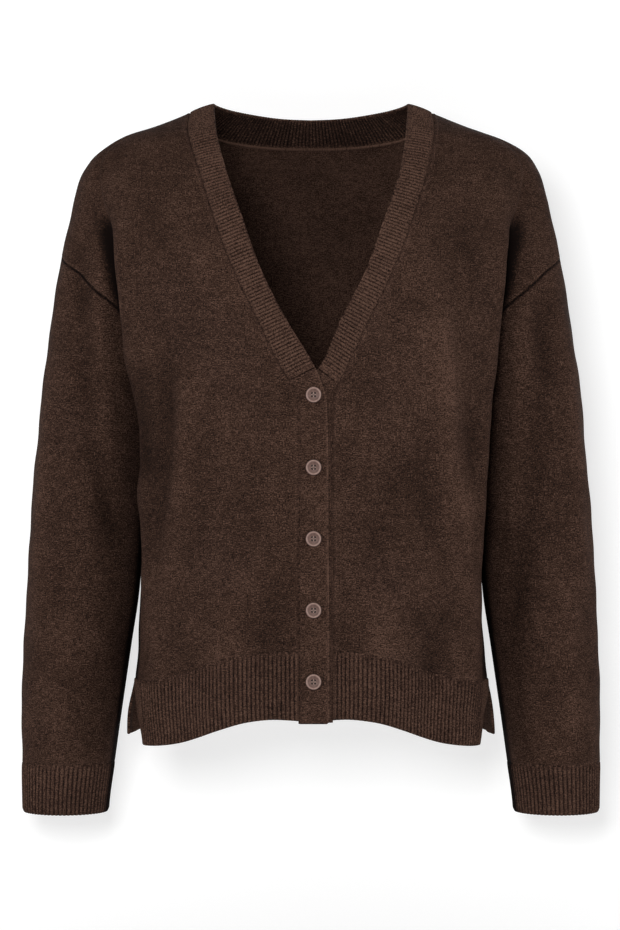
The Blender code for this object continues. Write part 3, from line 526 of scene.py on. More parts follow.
def fold_heights(folds, a, b):
    """Each fold adds height * exp(-d^2) * envelope, d being the distance to its bent path over its width."""
    total = np.zeros(np.shape(a))
    for number, (a0, b0, am, bm, a1, b1, inner, outer, height) in enumerate(folds):
        chord = np.array([a1 - a0, b1 - b0])
        reach = chord @ chord
        t = ((a - a0) * chord[0] + (b - b0) * chord[1]) / reach
        held = np.clip(t, 0, 1)
        path_a = (1 - held) ** 2 * a0 + 2 * held * (1 - held) * am + held**2 * a1
        path_b = (1 - held) ** 2 * b0 + 2 * held * (1 - held) * bm + held**2 * b1
        normal = np.array([-chord[1], chord[0]]) / math.sqrt(reach)
        off = (a - path_a) * normal[0] + (b - path_b) * normal[1]
        off = off + WANDER * inner * np.sin(9 * held + 2 * number)
        width = np.where(off < 0, inner, outer)
        envelope = ease(*FADE_IN, t) * ease(*FADE_OUT, 1 - t)
        uneven = 1 + UNEVEN * np.sin(7 * held + 1.7 * number)
        total = total + height * uneven * envelope * bell(off / width)
    return total


def ripple(points):
    """A sum of slow sine waves across space, for the unevenness that no fold accounts for."""
    phase = points @ (RIPPLE_WAYS / RIPPLE_LENGTHS[:, None]).T * 2 * math.pi + RIPPLE_PHASES
    return RIPPLE_HEIGHT * np.sin(phase).sum(-1)


print("folds", len(FRONT_FOLDS), len(BACK_FOLDS), len(RIGHT_ARM_FOLDS), len(LEFT_ARM_FOLDS))

# %% [markdown]
# Where cloth is held it can't fold: at a seam, and where a sleeve lies against the trunk. So each fold is
# scaled down there. A trough may come closer to the crease beside the arm than a crest, which would push
# the two cloths through each other.

# %% How far the folds move each point of the cloth
ARM_GIRTH = 50 * MM
CREST_FREE, TROUGH_FREE = np.radians((28, 62)), np.radians((8, 26))
CREST_KNOTS, TROUGH_KNOTS = (3.6, 4.6), (4.6, 6)
ARM_KNOTS = (CREASE_KNOT - 0.3, CREASE_KNOT + 0.8)
SHOULDER_FADE = (-10 * MM, -70 * MM)
CUFF_FADE = 25 * MM


def arm_turn(points, toward):
    """How far round the arm a point lies, from its inner side, in radians."""
    z = points[..., 2]
    half_w, half_d = look_up(ARM, "half_w", z), look_up(ARM, "half_d", z)
    across = (look_up(ARM, "outer", z) - half_w - np.abs(points[..., 0])) / half_w
    along = toward * (points[..., 1] - look_up(ARM, "centre_y", z)) / half_d
    return np.arctan2(along, across)


def arm_height(points, turn, toward, side):
    """Folds of an arm: still on the inner side, where it lies near the trunk, and at both seams."""
    folds = RIGHT_ARM_FOLDS if side < 0 else LEFT_ARM_FOLDS
    z = points[..., 2]
    moved = fold_heights(folds, -toward * turn * ARM_GIRTH, z) + ripple(points)
    share = np.where(moved > 0, ease(*CREST_FREE, np.abs(turn)), ease(*TROUGH_FREE, np.abs(turn)))
    return moved * share * ease(CUFF_END, CUFF_SEAM + CUFF_FADE, z)


def moved_at(points, toward):
    """The folds' height on the trunk, fading out toward the shoulder."""
    folds = FRONT_FOLDS if toward < 0 else BACK_FOLDS
    z = points[..., 2]
    return (fold_heights(folds, points[..., 0], z) + ripple(points)) * ease(*SHOULDER_FADE, z)


def trunk_height(points, knot, toward, side):
    """Folds of the trunk, fading where it tucks in beside the arm; the arm's own folds take over there."""
    z = points[..., 2]
    moved = moved_at(points, toward)
    tucked = np.where(moved > 0, ease(*CREST_KNOTS, knot), ease(*TROUGH_KNOTS, knot))
    moved = moved * (1 - ease(*NEST, z) * tucked)
    on_arm = ease(*ARM_KNOTS, knot) * (z > ARMPIT)
    turn = arm_turn(points, toward)
    return moved * (1 - on_arm) + arm_height(points, turn, toward, side) * on_arm


print("reach of the folds", np.round([ARM_GIRTH * CREST_FREE[1], ARM_GIRTH * TROUGH_FREE[1]], 3).tolist())

# %% [markdown]
# A fold's light and shade is also painted into the yarn's colour: lighter on a crest, darker in a
# trough, and darkest in the crease beside a sleeve, where shade falls. Each point keeps that painted
# light and shade as a number, which the yarn's material adds to its share of light fibre.

# %% Painted light and shade on the folds
# Painted highlight on a crest, painted shade in a trough, and deeper painted shade in the crease beside a
# sleeve.
CREST_HIGHLIGHT, TROUGH_SHADE = 34, 38
CREASE_SHADE = 1.9
CREASE_SHADE_TURN = np.radians((2, 27))
CREASE_SHADE_KNOTS = (CREASE_KNOT - 2.6, CREASE_KNOT - 0.6)
CREASE_SHADE_TOP, CREASE_SHADE_LOW = (-100 * MM, -140 * MM), (-560 * MM, -480 * MM)
ARM_SHADE_KNOTS = (CREASE_KNOT - 0.3, CREASE_KNOT + 0.3)


def fold_light_and_shade(height):
    """Painted light and shade, added to the share of light yarn: more on a crest and less in a trough, by
    the metre of height.
    """
    return height * np.where(height > 0, CREST_HIGHLIGHT, TROUGH_SHADE)


def arm_light_and_shade(points, turn, height):
    """Painted light on a crest, painted shade in a trough and, most of all, where the arm turns in toward
    the trunk.
    """
    beyond = np.abs(turn) - armhole_angle("crease", points[..., 2])
    shaded_share = 1 - ease(*CREASE_SHADE_TURN, beyond)
    return fold_light_and_shade(height) - CREASE_SHADE * shaded_share * ease(*CREASE_SHADE_TOP, points[..., 2])


def trunk_light_and_shade(points, knot, height, toward):
    """The same for the trunk, with painted shade in its fold from the ridge inward."""
    z = points[..., 2]
    # Painted shade in the fold, from the ridge in to the crease.
    fold = -CREASE_SHADE * ease(*CREASE_SHADE_KNOTS, knot) * ease(*CREASE_SHADE_TOP, z) * ease(*CREASE_SHADE_LOW, z)
    on_arm = ease(*ARM_SHADE_KNOTS, knot) * (z > ARMPIT)
    arm = arm_light_and_shade(points, arm_turn(points, toward), height)
    return (fold_light_and_shade(height) + fold) * (1 - on_arm) + arm * on_arm


print("tone of a 3 mm crest and trough", fold_light_and_shade(3 * MM), fold_light_and_shade(-3 * MM))

# %% [markdown]
# ## Walls with a rounded rim
#
# Cloth has a thickness, and at this distance it shows at every edge. A wall is made from one grid of
# points in the middle of the cloth: the outer face is that grid moved out, the inner face is moved in,
# and round the border a half circle joins the two. All of it is whole-array work, and the texture
# coordinates are kept beside the points, in metres of cloth, so that a stitch has its real size.

# %% The wall builder
RIM_STEPS = 4
RIM_INSET = 0.9
DEEPEST = 1.5 * MM
# A painted highlight on the rounded rim.
RIM_HIGHLIGHT = 0.12
INSIDE_TONE = 0.15


def normals(grid, wrap=False):
    """The way out of a grid of points: its way down crossed with its way across."""
    down = np.gradient(grid, axis=0)
    if wrap:
        padded = np.concatenate([grid[:, -2:-1], grid, grid[:, 1:2]], 1)
        across = (padded[:, 2:] - padded[:, :-2]) / 2
    else:
        across = np.gradient(grid, axis=1)
    out = np.cross(down, across)
    return out / np.maximum(np.linalg.norm(out, axis=2), 1e-12)[..., None]


def grid_faces(index):
    """Quads of a grid of point numbers."""
    a, b, c, d = index[:-1, :-1], index[:-1, 1:], index[1:, 1:], index[1:, :-1]
    return np.stack([a, b, c, d], -1).reshape(-1, 4)


def rim_loops(index, wrap):
    """The border of a grid as rows of point numbers: one closed loop, or two where the grid is a tube."""
    if wrap:
        return [index[0], index[-1][::-1]]
    loop = np.concatenate([index[0], index[1:, -1], index[-1, -2::-1], index[-2:0:-1, 0]])
    return [np.append(loop, loop[0])]


def outwards(grid, wrap):
    """The way out of the border within the cloth, for each point of the grid; 0 inside."""
    way = np.zeros_like(grid)

    def unit(v):
        return v / np.maximum(np.linalg.norm(v, axis=-1), 1e-12)[..., None]

    way[0] += unit(grid[0] - grid[1])
    way[-1] += unit(grid[-1] - grid[-2])
    if not wrap:
        way[:, 0] += unit(grid[:, 0] - grid[:, 1])
        way[:, -1] += unit(grid[:, -1] - grid[:, -2])
    return way


def make_mesh(name, points, faces, uv, tone=None):
    """A mesh from arrays, smooth, with its texture coordinates and, where given, its tone per point."""
    mesh = bpy.data.meshes.new(name)
    mesh.vertices.add(len(points))
    mesh.vertices.foreach_set("co", points.astype(np.float32).ravel())
    mesh.loops.add(faces.size)
    mesh.loops.foreach_set("vertex_index", faces.astype(np.int32).ravel())
    mesh.polygons.add(len(faces))
    mesh.polygons.foreach_set("loop_start", np.arange(0, faces.size, faces.shape[1], dtype=np.int32))
    layer = mesh.uv_layers.new(name="cloth")
    layer.data.foreach_set("uv", uv[faces.ravel()].astype(np.float32).ravel())
    mesh.polygons.foreach_set("use_smooth", np.ones(len(faces), bool))
    if tone is not None:
        mesh.attributes.new("tone", "FLOAT", "POINT").data.foreach_set("value", tone.astype(np.float32))
    mesh.update(calc_edges=True)
    mesh.validate()
    obj = bpy.data.objects.new(name, mesh)
    bpy.context.scene.collection.objects.link(obj)
    return obj


def merge(obj):
    """Joins the points that lie on one another, such as both ends of a tube's grid."""
    build = bmesh.new()
    build.from_mesh(obj.data)
    bmesh.ops.remove_doubles(build, verts=build.verts, dist=2e-6)
    bmesh.ops.dissolve_degenerate(build, edges=build.edges, dist=1e-6)
    bmesh.ops.recalc_face_normals(build, faces=build.faces)
    build.to_mesh(obj.data)
    build.free()
    return obj


def wall(name, middle, uv, thick, rise=0.0, inner_rise=0.0, wrap=False, tone=0.0):
    """Outer face = middle + n (thick/2 + rise), inner face = middle - n (thick/2 + inner rise)."""
    rows, columns = middle.shape[:2]
    half = thick / 2
    edge_way = outwards(middle, wrap)
    middle = middle - edge_way * half * RIM_INSET
    out = normals(middle, wrap)
    rise = np.broadcast_to(rise, (rows, columns))[..., None]
    inner_rise = np.broadcast_to(inner_rise, (rows, columns))[..., None]
    outer = middle + out * (half + rise)
    inner = middle - out * (half + inner_rise)
    index = np.arange(rows * columns).reshape(rows, columns)
    points = [outer.reshape(-1, 3), inner.reshape(-1, 3)]
    tone = np.broadcast_to(tone, (rows, columns))
    layers = ((tone, rise), (INSIDE_TONE, inner_rise))
    # The relief enters the tone too: raised cloth lighter and furrows darker, painted shade in the furrows
    # together with the yarn's own change.
    tones = [(shade + layer[..., 0] / DEEPEST).ravel() for shade, layer in layers]
    flat_uv = uv.reshape(-1, 2)
    uvs = [flat_uv, flat_uv]
    faces = [grid_faces(index)[:, ::-1], grid_faces(index + rows * columns)]
    count = 2 * rows * columns
    for loop in rim_loops(index, wrap):
        strips = [loop]
        near, far, way = (layer.reshape(-1, 3)[loop] for layer in (outer, inner, edge_way))
        for step in range(1, RIM_STEPS):
            angle = math.pi * step / RIM_STEPS
            bulge = way * half * math.sin(angle)
            points.append((near + far) / 2 + (near - far) / 2 * math.cos(angle) + bulge)
            uvs.append(flat_uv[loop])
            # The rim is painted lighter: a painted highlight.
            tones.append(tone.ravel()[loop] + RIM_HIGHLIGHT)
            strips.append(count + np.arange(len(loop)))
            count += len(loop)
        strips.append(loop + rows * columns)
        faces.append(grid_faces(np.array(strips)))
    arrays = [np.concatenate(parts) for parts in (points, faces, uvs, tones)]
    return merge(make_mesh(name, *arrays))


def spans(grid):
    """The longest row, the longest column and the area of a grid of points, in metres."""
    width = np.linalg.norm(np.diff(grid, axis=1), axis=2).sum(1).max()
    length = np.linalg.norm(np.diff(grid, axis=0), axis=2).sum(0).max()
    a, b, c, d = grid[:-1, :-1], grid[:-1, 1:], grid[1:, 1:], grid[1:, :-1]
    return float(width), float(length), float(np.linalg.norm(np.cross(c - a, d - b), axis=-1).sum() / 2)


def bind(obj, node=None):
    """Ties a piece to the one body and, where it stands for one, hides its CAD node."""
    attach(obj, "root")
    if node:
        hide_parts(node)
    return obj


SHEETS = []


def dress(obj, slot, flat):
    """Binds a cloth piece to the CAD node it stands for, and keeps its slot and cut in a list."""
    bind(obj, obj.name.removeprefix("cloth_"))
    width, length, area = spans(flat)
    SHEETS.append((obj, slot, width, length, area))
    print(f"{obj.name}: {len(obj.data.polygons)} faces, {width:.3f} by {length:.3f} m, {area:.4f} m2")
    return obj


print("wall: a rim of", RIM_STEPS, "steps, relief up to", DEEPEST, "m")

# %% [markdown]
# ## The fronts and the back
#
# A front is knitted as one piece from the hem to the shoulder. Its grid runs from the neckline or the
# button band to the side, the armhole and the shoulder. Rows lie level, as courses of knitting do, but
# bend with the hem at the bottom, and they crowd where the armhole turns.

# %% Borders of a panel
LIFT_Z = (-250 * MM, -190 * MM)
LIFT_X = (26 * MM, 80 * MM)
OVERLAP = 1.6 * MM
CLOTH = 2.0 * MM
CLOSING_FADE = (-80 * MM, -20 * MM)
BORDER_SHARE, LONGEST_STEP = 0.55, 6 * MM
FRONT_TOP, FRONT_LOW = NECK_POINT - 1.2 * MM, -512 * MM
BACK_LOW_AT_SIDE, BACK_LOW_IN_MIDDLE = -520 * MM, -510 * MM
NECK_TURN = 94
HEM_FADE = -330 * MM
SETTLE = 24


def closing_shift(z):
    """How far the closing's middle lies from the garment's, fading out toward the shoulders."""
    return CLOSING_X * (1 - ease(*CLOSING_FADE, z))


def lift(x, z, side):
    """How far a layer of the closing lies from the form: the wearer's right lies over."""
    return -side * OVERLAP * (1 - ease(*LIFT_Z, z)) * (1 - ease(*LIFT_X, np.abs(x)))


def outer_knot(z):
    """The knot at which a panel ends: the side, the armhole's seam or the top of the shoulder."""
    low, high = armhole_angle("crease", z), armhole_angle("seam", z)
    armhole = CREASE_KNOT + ARM_STEPS * np.clip((high - low) / (math.pi - low), 0, 1)
    knot = np.where(z > SHOULDER_TIP, CREASE_KNOT + ARM_STEPS, armhole)
    return np.where(z < ARMPIT, CREASE_KNOT, knot)


def neckline(side, z):
    """Where a front starts: at the seam of the neckband and, lower down, of the button band."""
    column = "over_seam" if side < 0 else "under_seam"
    x = look_up(CLOSING, column, z) + side * closing_shift(z) + SEAM / 2
    return at_x(x, z, -1)


def level_rows(toward, count, top, low):
    """Heights from the top down, even along the outer border's length mixed with the height."""
    z = np.linspace(top, low, 1500)
    border = on_form(at_knot(outer_knot(z), z, toward), z, toward)[0]
    steps = np.linalg.norm(np.diff(border, axis=0), axis=1)
    steps = BORDER_SHARE * np.minimum(steps, LONGEST_STEP) + (1 - BORDER_SHARE) * np.abs(np.diff(z))
    measure = np.concatenate([[0], np.cumsum(steps)])
    return np.interp(np.linspace(0, measure[-1], count), measure, z)


def crowded(count, near=7, gap=0.006, both=True):
    """Shares from 0 to 1, close together at the borders, where a seam's ridge is narrow."""
    last = 1 - (np.arange(near) * gap)[::-1]
    first = np.arange(near) * gap if both else np.zeros(0)
    start = near * gap if both else 0
    return np.concatenate([first, np.linspace(start, 1 - near * gap, count - len(first) - near), last])


def hem_bend(z, seam_name, toward, place_of):
    """Adds to the lower rows what the hem's seam departs from the last row, which fades out upward."""
    low = z[-1].copy()
    hem = low.copy()
    for _ in range(SETTLE):
        x = on_form(place_of(hem), hem, toward)[0][:, 0]
        hem = (hem + look_up(HEM, seam_name, x, by="x") + SEAM / 2) / 2
    bend = np.clip((HEM_FADE - z) / (HEM_FADE - low), 0, 1) ** 1.3
    return z + (hem - low) * bend


def front_grid(side, rows, columns):
    """Distance w(v, u) and height z(v, u): level rows between the neckline and the outer border."""
    u = crowded(columns)[None, :]

    def place_of(z):
        start = neckline(side, z.ravel()).reshape(z.shape)
        end = at_knot(outer_knot(z.ravel()), z.ravel(), -1).reshape(z.shape) - SEAM / 2
        return start + (end - start) * u.reshape((1,) * (z.ndim - 1) + (-1,))

    z = np.repeat(level_rows(-1, rows, FRONT_TOP, FRONT_LOW)[:, None], columns, 1)
    z = hem_bend(z, "front_seam", -1, place_of)
    return place_of(z), z


def neck_at(column, turn):
    """A column of the back of the neck's table, by how far along it."""
    return look_up(BACK_NECK, column, turn, by="turn")


def back_grid(rows, columns):
    """As a front's, but from the middle, and with a first row that follows the back of the neck."""
    u = crowded(columns, both=False)

    def place_of(z):
        return (at_knot(outer_knot(z.ravel()), z.ravel(), 1).reshape(z.shape) - SEAM / 2) * u

    turn = np.linspace(0, NECK_TURN, 200) * MM
    seam_x, seam_z = neck_at("seam_x", turn), neck_at("seam_z", turn) - SEAM
    top = np.full(columns, seam_z[0])
    for _ in range(4 * SETTLE):
        x = on_form(place_of(top), top, 1)[0][:, 0]
        top = 0.7 * top + 0.3 * np.interp(x, seam_x, seam_z)
    top[-1] = seam_z[-1]
    at_side = level_rows(1, rows, seam_z[-1], BACK_LOW_AT_SIDE)
    in_middle = np.linspace(seam_z[0], BACK_LOW_IN_MIDDLE, rows)
    share = ((top - seam_z[0]) / (seam_z[-1] - seam_z[0]))[None, :]
    below = ease(0, 0.3, np.linspace(0, 1, rows))[:, None]
    share = np.clip(share + (u[None, :] ** 2 - share) * below, 0, 1)
    z = in_middle[:, None] * (1 - share) + at_side[:, None] * share
    z = hem_bend(z, "back_seam", 1, place_of)
    return place_of(z), z


def cloth_uv(w, z):
    """Texture coordinates in metres: along the course, and up the wale."""
    level = np.array([0, -0.02, -0.06, -0.14, -0.7])
    slope = np.array([1.9, 1.9, 1.35, 1.0, 1.0])
    height = np.concatenate([[0], np.cumsum(np.diff(level) * (slope[1:] + slope[:-1]) / 2)])
    return np.stack([w, np.interp(-z, -level, height)], -1)


def mirror_for(side, *grids):
    """The grids as they are on the wearer's left, or mirrored in x and turned round for the right."""
    if side > 0:
        return grids
    first = grids[0][:, ::-1] * (-1, 1, 1)
    return (first, *(grid[:, ::-1] for grid in grids[1:]))


print("panels of", CLOTH, "m cloth, laid over each other by", OVERLAP, "m either way")

# %% [markdown]
# Each front is its grid moved out by the folds and by its layer of the closing. A low ridge runs beside
# the neckband and the button band, where the loops are linked. Beside the armhole a dark line sinks in,
# and two ridges show where loops were moved to shape it. Both fronts are made on the wearer's left, and
# the right one is mirrored.

# %% The fronts
FRONT_ROWS, FRONT_COLUMNS = 214, 104
SELVEDGE_AT, SELVEDGE_WIDTH, SELVEDGE_HEIGHT = 2.6 * MM, 1.1 * MM, 0.5 * MM
SELVEDGE_Z = (-2 * MM, -20 * MM)
ARMHOLE_LOW = (ARMPIT, ARMPIT + 20 * MM)
ARMHOLE_HIGH = (SHOULDER_TIP - 4 * MM, SHOULDER_TIP + 6 * MM)
MOVED_LOOPS = ((3.2 * MM, 1.0), (7 * MM, 0.7))
MOVED_HEIGHT, MOVED_TONE = 0.22 * MM, 0.10
SEAM_LINE, SEAM_LINE_WIDTH = 0.55, 1.3 * MM
RIDGE_SHADE = 0.75


def selvedge(distance):
    """A low ridge beside a seam, where the loops are linked: height * bell((distance - at) / width)."""
    return SELVEDGE_HEIGHT * bell((distance - SELVEDGE_AT) / SELVEDGE_WIDTH)


def seam_marks(flat, z):
    """Beside the armhole's seam: a dark line where it sinks in, then two low ridges of moved loops."""
    gap = np.linalg.norm(flat - flat[:, -1:], axis=2)
    at_armhole = ease(*ARMHOLE_LOW, z) * (1 - ease(*ARMHOLE_HIGH, z))
    ridges = sum(size * bell((gap - at) / MM) for at, size in MOVED_LOOPS)
    line = bell(gap / SEAM_LINE_WIDTH)
    return MOVED_HEIGHT * ridges * at_armhole, (MOVED_TONE * ridges - SEAM_LINE * line) * at_armhole


def make_front(name, side):
    """The panel's points, pushed out by the folds and by the closing's overlap."""
    w, z = front_grid(side, FRONT_ROWS, FRONT_COLUMNS)
    flat, knot = on_form(w, z, -1)
    own = flat * (side, 1, 1)
    folds, layer = trunk_height(own, knot, -1, side), lift(flat[..., 0], z, side)
    middle = flat + normals(flat) * (folds + layer)[..., None]
    ridges, mark = seam_marks(flat, z)
    rise = selvedge(w - w[:, :1]) * ease(*SELVEDGE_Z, z) + ridges
    # The folds' painted light and shade, the seam's marks, and less of the selvedge's painted lighter
    # relief.
    tone = trunk_light_and_shade(own, knot, folds, -1) + mark - RIDGE_SHADE * rise / DEEPEST
    middle, uv, rise, tone = mirror_for(side, middle, cloth_uv(w, z) * (side, 1), rise, tone)
    obj = wall(name, middle, uv, CLOTH, rise, tone=tone)
    return dress(obj, "knit", flat)


front_right = make_front("cloth_front_right", -1)
front_left = make_front("cloth_front_left", 1)

# %% [markdown]
# The back is symmetric before its folds are added, so half a grid and its mirror image make it.

# %% The back
BACK_ROWS, BACK_COLUMNS = 196, 92


def doubled(grid, flip=1):
    """Half a grid and its mirror image, which share the middle column."""
    return np.concatenate([grid[:, ::-1], grid[:, 1:] * flip], 1)


def back_height(flat, knot):
    """The back's folds, with each sleeve's own beyond the crease."""
    right, left = (trunk_height(flat, knot, 1, side) for side in (-1, 1))
    return np.where(flat[..., 0] < 0, right, left)


def make_back():
    """The doubled grid, pushed out by its folds."""
    w, z = back_grid(BACK_ROWS, BACK_COLUMNS)
    flat, knot = on_form(w, z, 1)
    flat, knot, uv = doubled(flat, (-1, 1, 1)), doubled(knot), doubled(cloth_uv(w, z), (-1, 1))
    height = back_height(flat, knot)
    middle = flat + normals(flat) * height[..., None]
    # The folds' painted light and shade.
    tone = trunk_light_and_shade(flat, knot, height, 1)
    obj = wall("cloth_back", middle, uv, CLOTH, tone=tone)
    return dress(obj, "knit", flat)


back = make_back()

# %% [markdown]
# ## Sleeves and cuffs
#
# A sleeve is a tube, so its grid closes on itself. It starts at the armhole's seam, high outside the
# arm and low at the armpit, and ends at the cuff. The cuff is knitted one rib by one rib: a rib stands
# out as a rounded bar and its neighbour sinks in as a narrow furrow, and inside it is the other way
# round. That is real relief, because it shows at the cuff's edge.

# %% The sleeves
SLEEVE_ROWS, SLEEVE_COLUMNS = 150, 145


def on_arm(angle, z):
    """The arm's oval by a signed angle, which is above 0 at the front."""
    toward = np.where(angle > 0, -1.0, 1.0)
    xy = arm_point(z, np.abs(angle), 1.0)
    xy[..., 1] = look_up(ARM, "centre_y", z) + toward * look_up(ARM, "half_d", z) * np.sin(np.abs(angle))
    return np.concatenate([xy, z[..., None]], -1)


def sleeve_top(angle):
    """The height of the sleeve's seam by the angle round the arm."""
    z = np.linspace(ARMPIT, SHOULDER_TIP, 600)
    found = np.interp(np.abs(angle), np.maximum.accumulate(armhole_angle("seam", z)), z)
    return found - SEAM


def fold_arm(flat, angle, side):
    """Moves an arm's points out by its folds; the folds are named by the signed angle."""
    points = flat * (side, 1, 1)
    toward = np.where(angle > 0, -1.0, 1.0)
    height = arm_height(points, np.abs(angle), toward, side)
    middle = flat + normals(flat, wrap=True) * height[..., None]
    middle[:, -1] = middle[:, 0]
    # It also gives the folds' painted light and shade, darkest where the arm turns in toward the trunk.
    return middle, arm_light_and_shade(points, angle, height)


def make_sleeve(name, side):
    """A tube from the armhole's seam to the cuff's, pushed out by the arm's folds."""
    angle = np.linspace(-math.pi, math.pi, SLEEVE_COLUMNS)
    top = sleeve_top(angle)
    part = np.linspace(0, 1, SLEEVE_ROWS)[:, None]
    z = top + (CUFF_SEAM + SEAM / 2 - top) * part
    angle = np.repeat(angle[None, :], SLEEVE_ROWS, 0)
    flat = on_arm(angle, z)
    middle, tone = fold_arm(flat, angle, side)
    tone = tone - SEAM_LINE * bell((z[:1] - z) / SEAM_LINE_WIDTH)
    uv = np.stack([angle * ARM_GIRTH * side, z], -1)
    middle, uv, tone = mirror_for(side, middle, uv, tone)
    obj = wall("cloth_" + name, middle, uv, CLOTH, wrap=True, tone=tone)
    return dress(obj, "knit", flat)


sleeve_right = make_sleeve("sleeve_right", -1)
sleeve_left = make_sleeve("sleeve_left", 1)

# %% [markdown]
# A cuff goes on round the same ovals. It turns in a little at its end, as ribbed cloth does.

# %% Cuffs
RIB_WALL = 2.2 * MM
RIB_HEIGHT = 0.62 * MM
CUFF_RIBS, CUFF_ROWS = 64, 14
CUFF_GIRTH = 40 * MM
CUFF_ROLL, CUFF_ROLL_DEPTH = 4 * MM, 1.4 * MM
PER_RIB = 8


def rib(turns):
    """A rounded bar with a narrow furrow on each side: height * (1.5 |sin(pi t)|^0.6 - 1)."""
    return RIB_HEIGHT * (1.5 * np.abs(np.sin(math.pi * turns)) ** 0.6 - 1)


def make_cuff(name, side):
    """A ribbed tube from the sleeve's seam to the free end, whose ribs grow out of the seam."""
    columns = CUFF_RIBS * PER_RIB + 1
    angle = np.linspace(-math.pi, math.pi, columns)
    turns = np.arange(columns) / PER_RIB
    z = np.linspace(CUFF_SEAM - SEAM / 2, CUFF_END, CUFF_ROWS)[:, None] + 0 * angle
    angle = np.repeat(angle[None, :], CUFF_ROWS, 0)
    flat = on_arm(angle, z)
    middle, tone = fold_arm(flat, angle, side)
    rolled = ease(CUFF_END + CUFF_ROLL, CUFF_END, z) ** 2
    middle = middle - normals(middle, wrap=True) * rolled[..., None] * CUFF_ROLL_DEPTH
    middle[:, -1] = middle[:, 0]
    fade = ease(0, 0.12, np.linspace(0, 1, CUFF_ROWS))[:, None] * 0.7 + 0.3
    uv = np.stack([angle * CUFF_GIRTH * side, z], -1)
    rise, inner = rib(turns) * fade, rib(turns + 0.5) * fade
    middle, uv, rise, inner, tone = mirror_for(side, middle, uv, rise, inner, tone)
    obj = wall("cloth_" + name, middle, uv, RIB_WALL, rise, inner, wrap=True, tone=tone)
    return dress(obj, "rib", flat)


cuff_right = make_cuff("cuff_right", -1)
cuff_left = make_cuff("cuff_left", 1)

# %% [markdown]
# ## The ribbed hem
#
# The hem is the same rib, in three pieces: one under each front and one under the back. They aren't
# joined at the sides, which leaves a vent, and beside each vent runs a plain strip that turns out a
# little. The ribs are spread evenly along the free edge, so they fan where the edge waves.

# %% Hem pieces
HEM_PITCH = 3.8 * MM
HEM_BORDER = 13 * MM
HEM_ROWS = 14
PLAIN_RISE = 0.3 * MM
CURL_FRONT, CURL_BACK = 2.2 * MM, 1.5 * MM
CURL_Z = (-505 * MM, -560 * MM)
HEM_START_Z = -530 * MM


def hem_height(knot, toward, column):
    """The height of the hem's seam or edge at a knot: z = HEM(x(knot, z)), found in rounds."""
    z = np.full(len(knot), VENT_TOP)
    for _ in range(SETTLE // 2):
        x = on_form(at_knot(knot, z, toward), z, toward)[0][:, 0]
        z = look_up(HEM, column, x, by="x")
    return z


def lengths_of(points):
    """The distance along a line at each of its points."""
    return np.concatenate([[0], np.cumsum(np.linalg.norm(np.diff(points, axis=0), axis=1))])


def rib_columns(start, toward, column):
    """Knots evenly spaced along the free edge, the turn of the rib at each, and where it is plain."""
    knots = np.linspace(start, CREASE_KNOT, 600)
    z = hem_height(knots, toward, column)
    along = lengths_of(on_form(at_knot(knots, z, toward), z, toward)[0])
    ribs = round((along[-1] - HEM_BORDER) / HEM_PITCH)
    pitch = (along[-1] - HEM_BORDER) / ribs
    marks = np.linspace(0, ribs * pitch, ribs * PER_RIB + 1)
    border = np.linspace(ribs * pitch, along[-1] - SEAM / 2, 16)[1:]
    marks = np.concatenate([marks, border])
    plain = ease(ribs * pitch - 0.5 * pitch, ribs * pitch, marks)
    return np.interp(marks, along, knots), marks / pitch, plain, marks


def hem_grid(start, toward, names):
    """Points from the seam to the free edge, column by column at its own knot."""
    knots, turns, plain, marks = rib_columns(start, toward, names[1])
    part = np.linspace(0, 1, HEM_ROWS)[:, None]
    top = hem_height(knots, toward, names[0]) - SEAM / 2
    edge = hem_height(knots, toward, names[1])
    z = top + (edge - top) * part
    w = at_knot(np.repeat(knots[None, :], HEM_ROWS, 0).ravel(), z.ravel(), toward).reshape(z.shape)
    flat, knot = on_form(w, z, toward)
    return flat, knot, z, turns[None], plain[None], marks[None]


def hem_relief(z, turns, plain, marks, size):
    """How far the plain strip turns out, and the relief of the outer and of the inner face."""
    end = marks.max()
    curl = size * plain * ease(end - HEM_BORDER, end, np.abs(marks)) * ease(*CURL_Z, z)
    fade = (1 - plain) * (0.35 + 0.65 * ease(0, 0.1, np.linspace(0, 1, HEM_ROWS))[:, None])
    return curl, rib(turns) * fade + PLAIN_RISE * plain, rib(turns + 0.5) * fade


def hem_start(side):
    """The knot at which a front's hem begins, beside the button band."""
    column = "over_seam" if side < 0 else "under_seam"
    first = look_up(CLOSING, column, HEM_START_Z) + side * CLOSING_X + SEAM / 2
    count = CREASE_KNOT * FINENESS
    line = FORM[-1][0][np.abs(LEVELS - HEM_START_Z).argmin()]
    return np.interp(first, line[:count, 0], np.arange(count) / FINENESS)


def make_hem_front(name, side):
    """The ribs under one front, lifted like its layer of the closing."""
    flat, knot, z, *ribs = hem_grid(hem_start(side), -1, ("front_seam", "front_edge"))
    height = trunk_height(flat * (side, 1, 1), knot, -1, side) + lift(flat[..., 0], z, side)
    curl, rise, inner = hem_relief(z, *ribs, CURL_FRONT)
    middle = flat + normals(flat) * (height + curl)[..., None]
    uv = np.stack([(ribs[-1] + 0 * z) * side, z], -1)
    middle, uv, rise, inner = mirror_for(side, middle, uv, rise, inner)
    obj = wall("cloth_" + name, middle, uv, RIB_WALL, rise, inner)
    return dress(obj, "rib", flat)


hem_front_right = make_hem_front("hem_front_right", -1)
hem_front_left = make_hem_front("hem_front_left", 1)


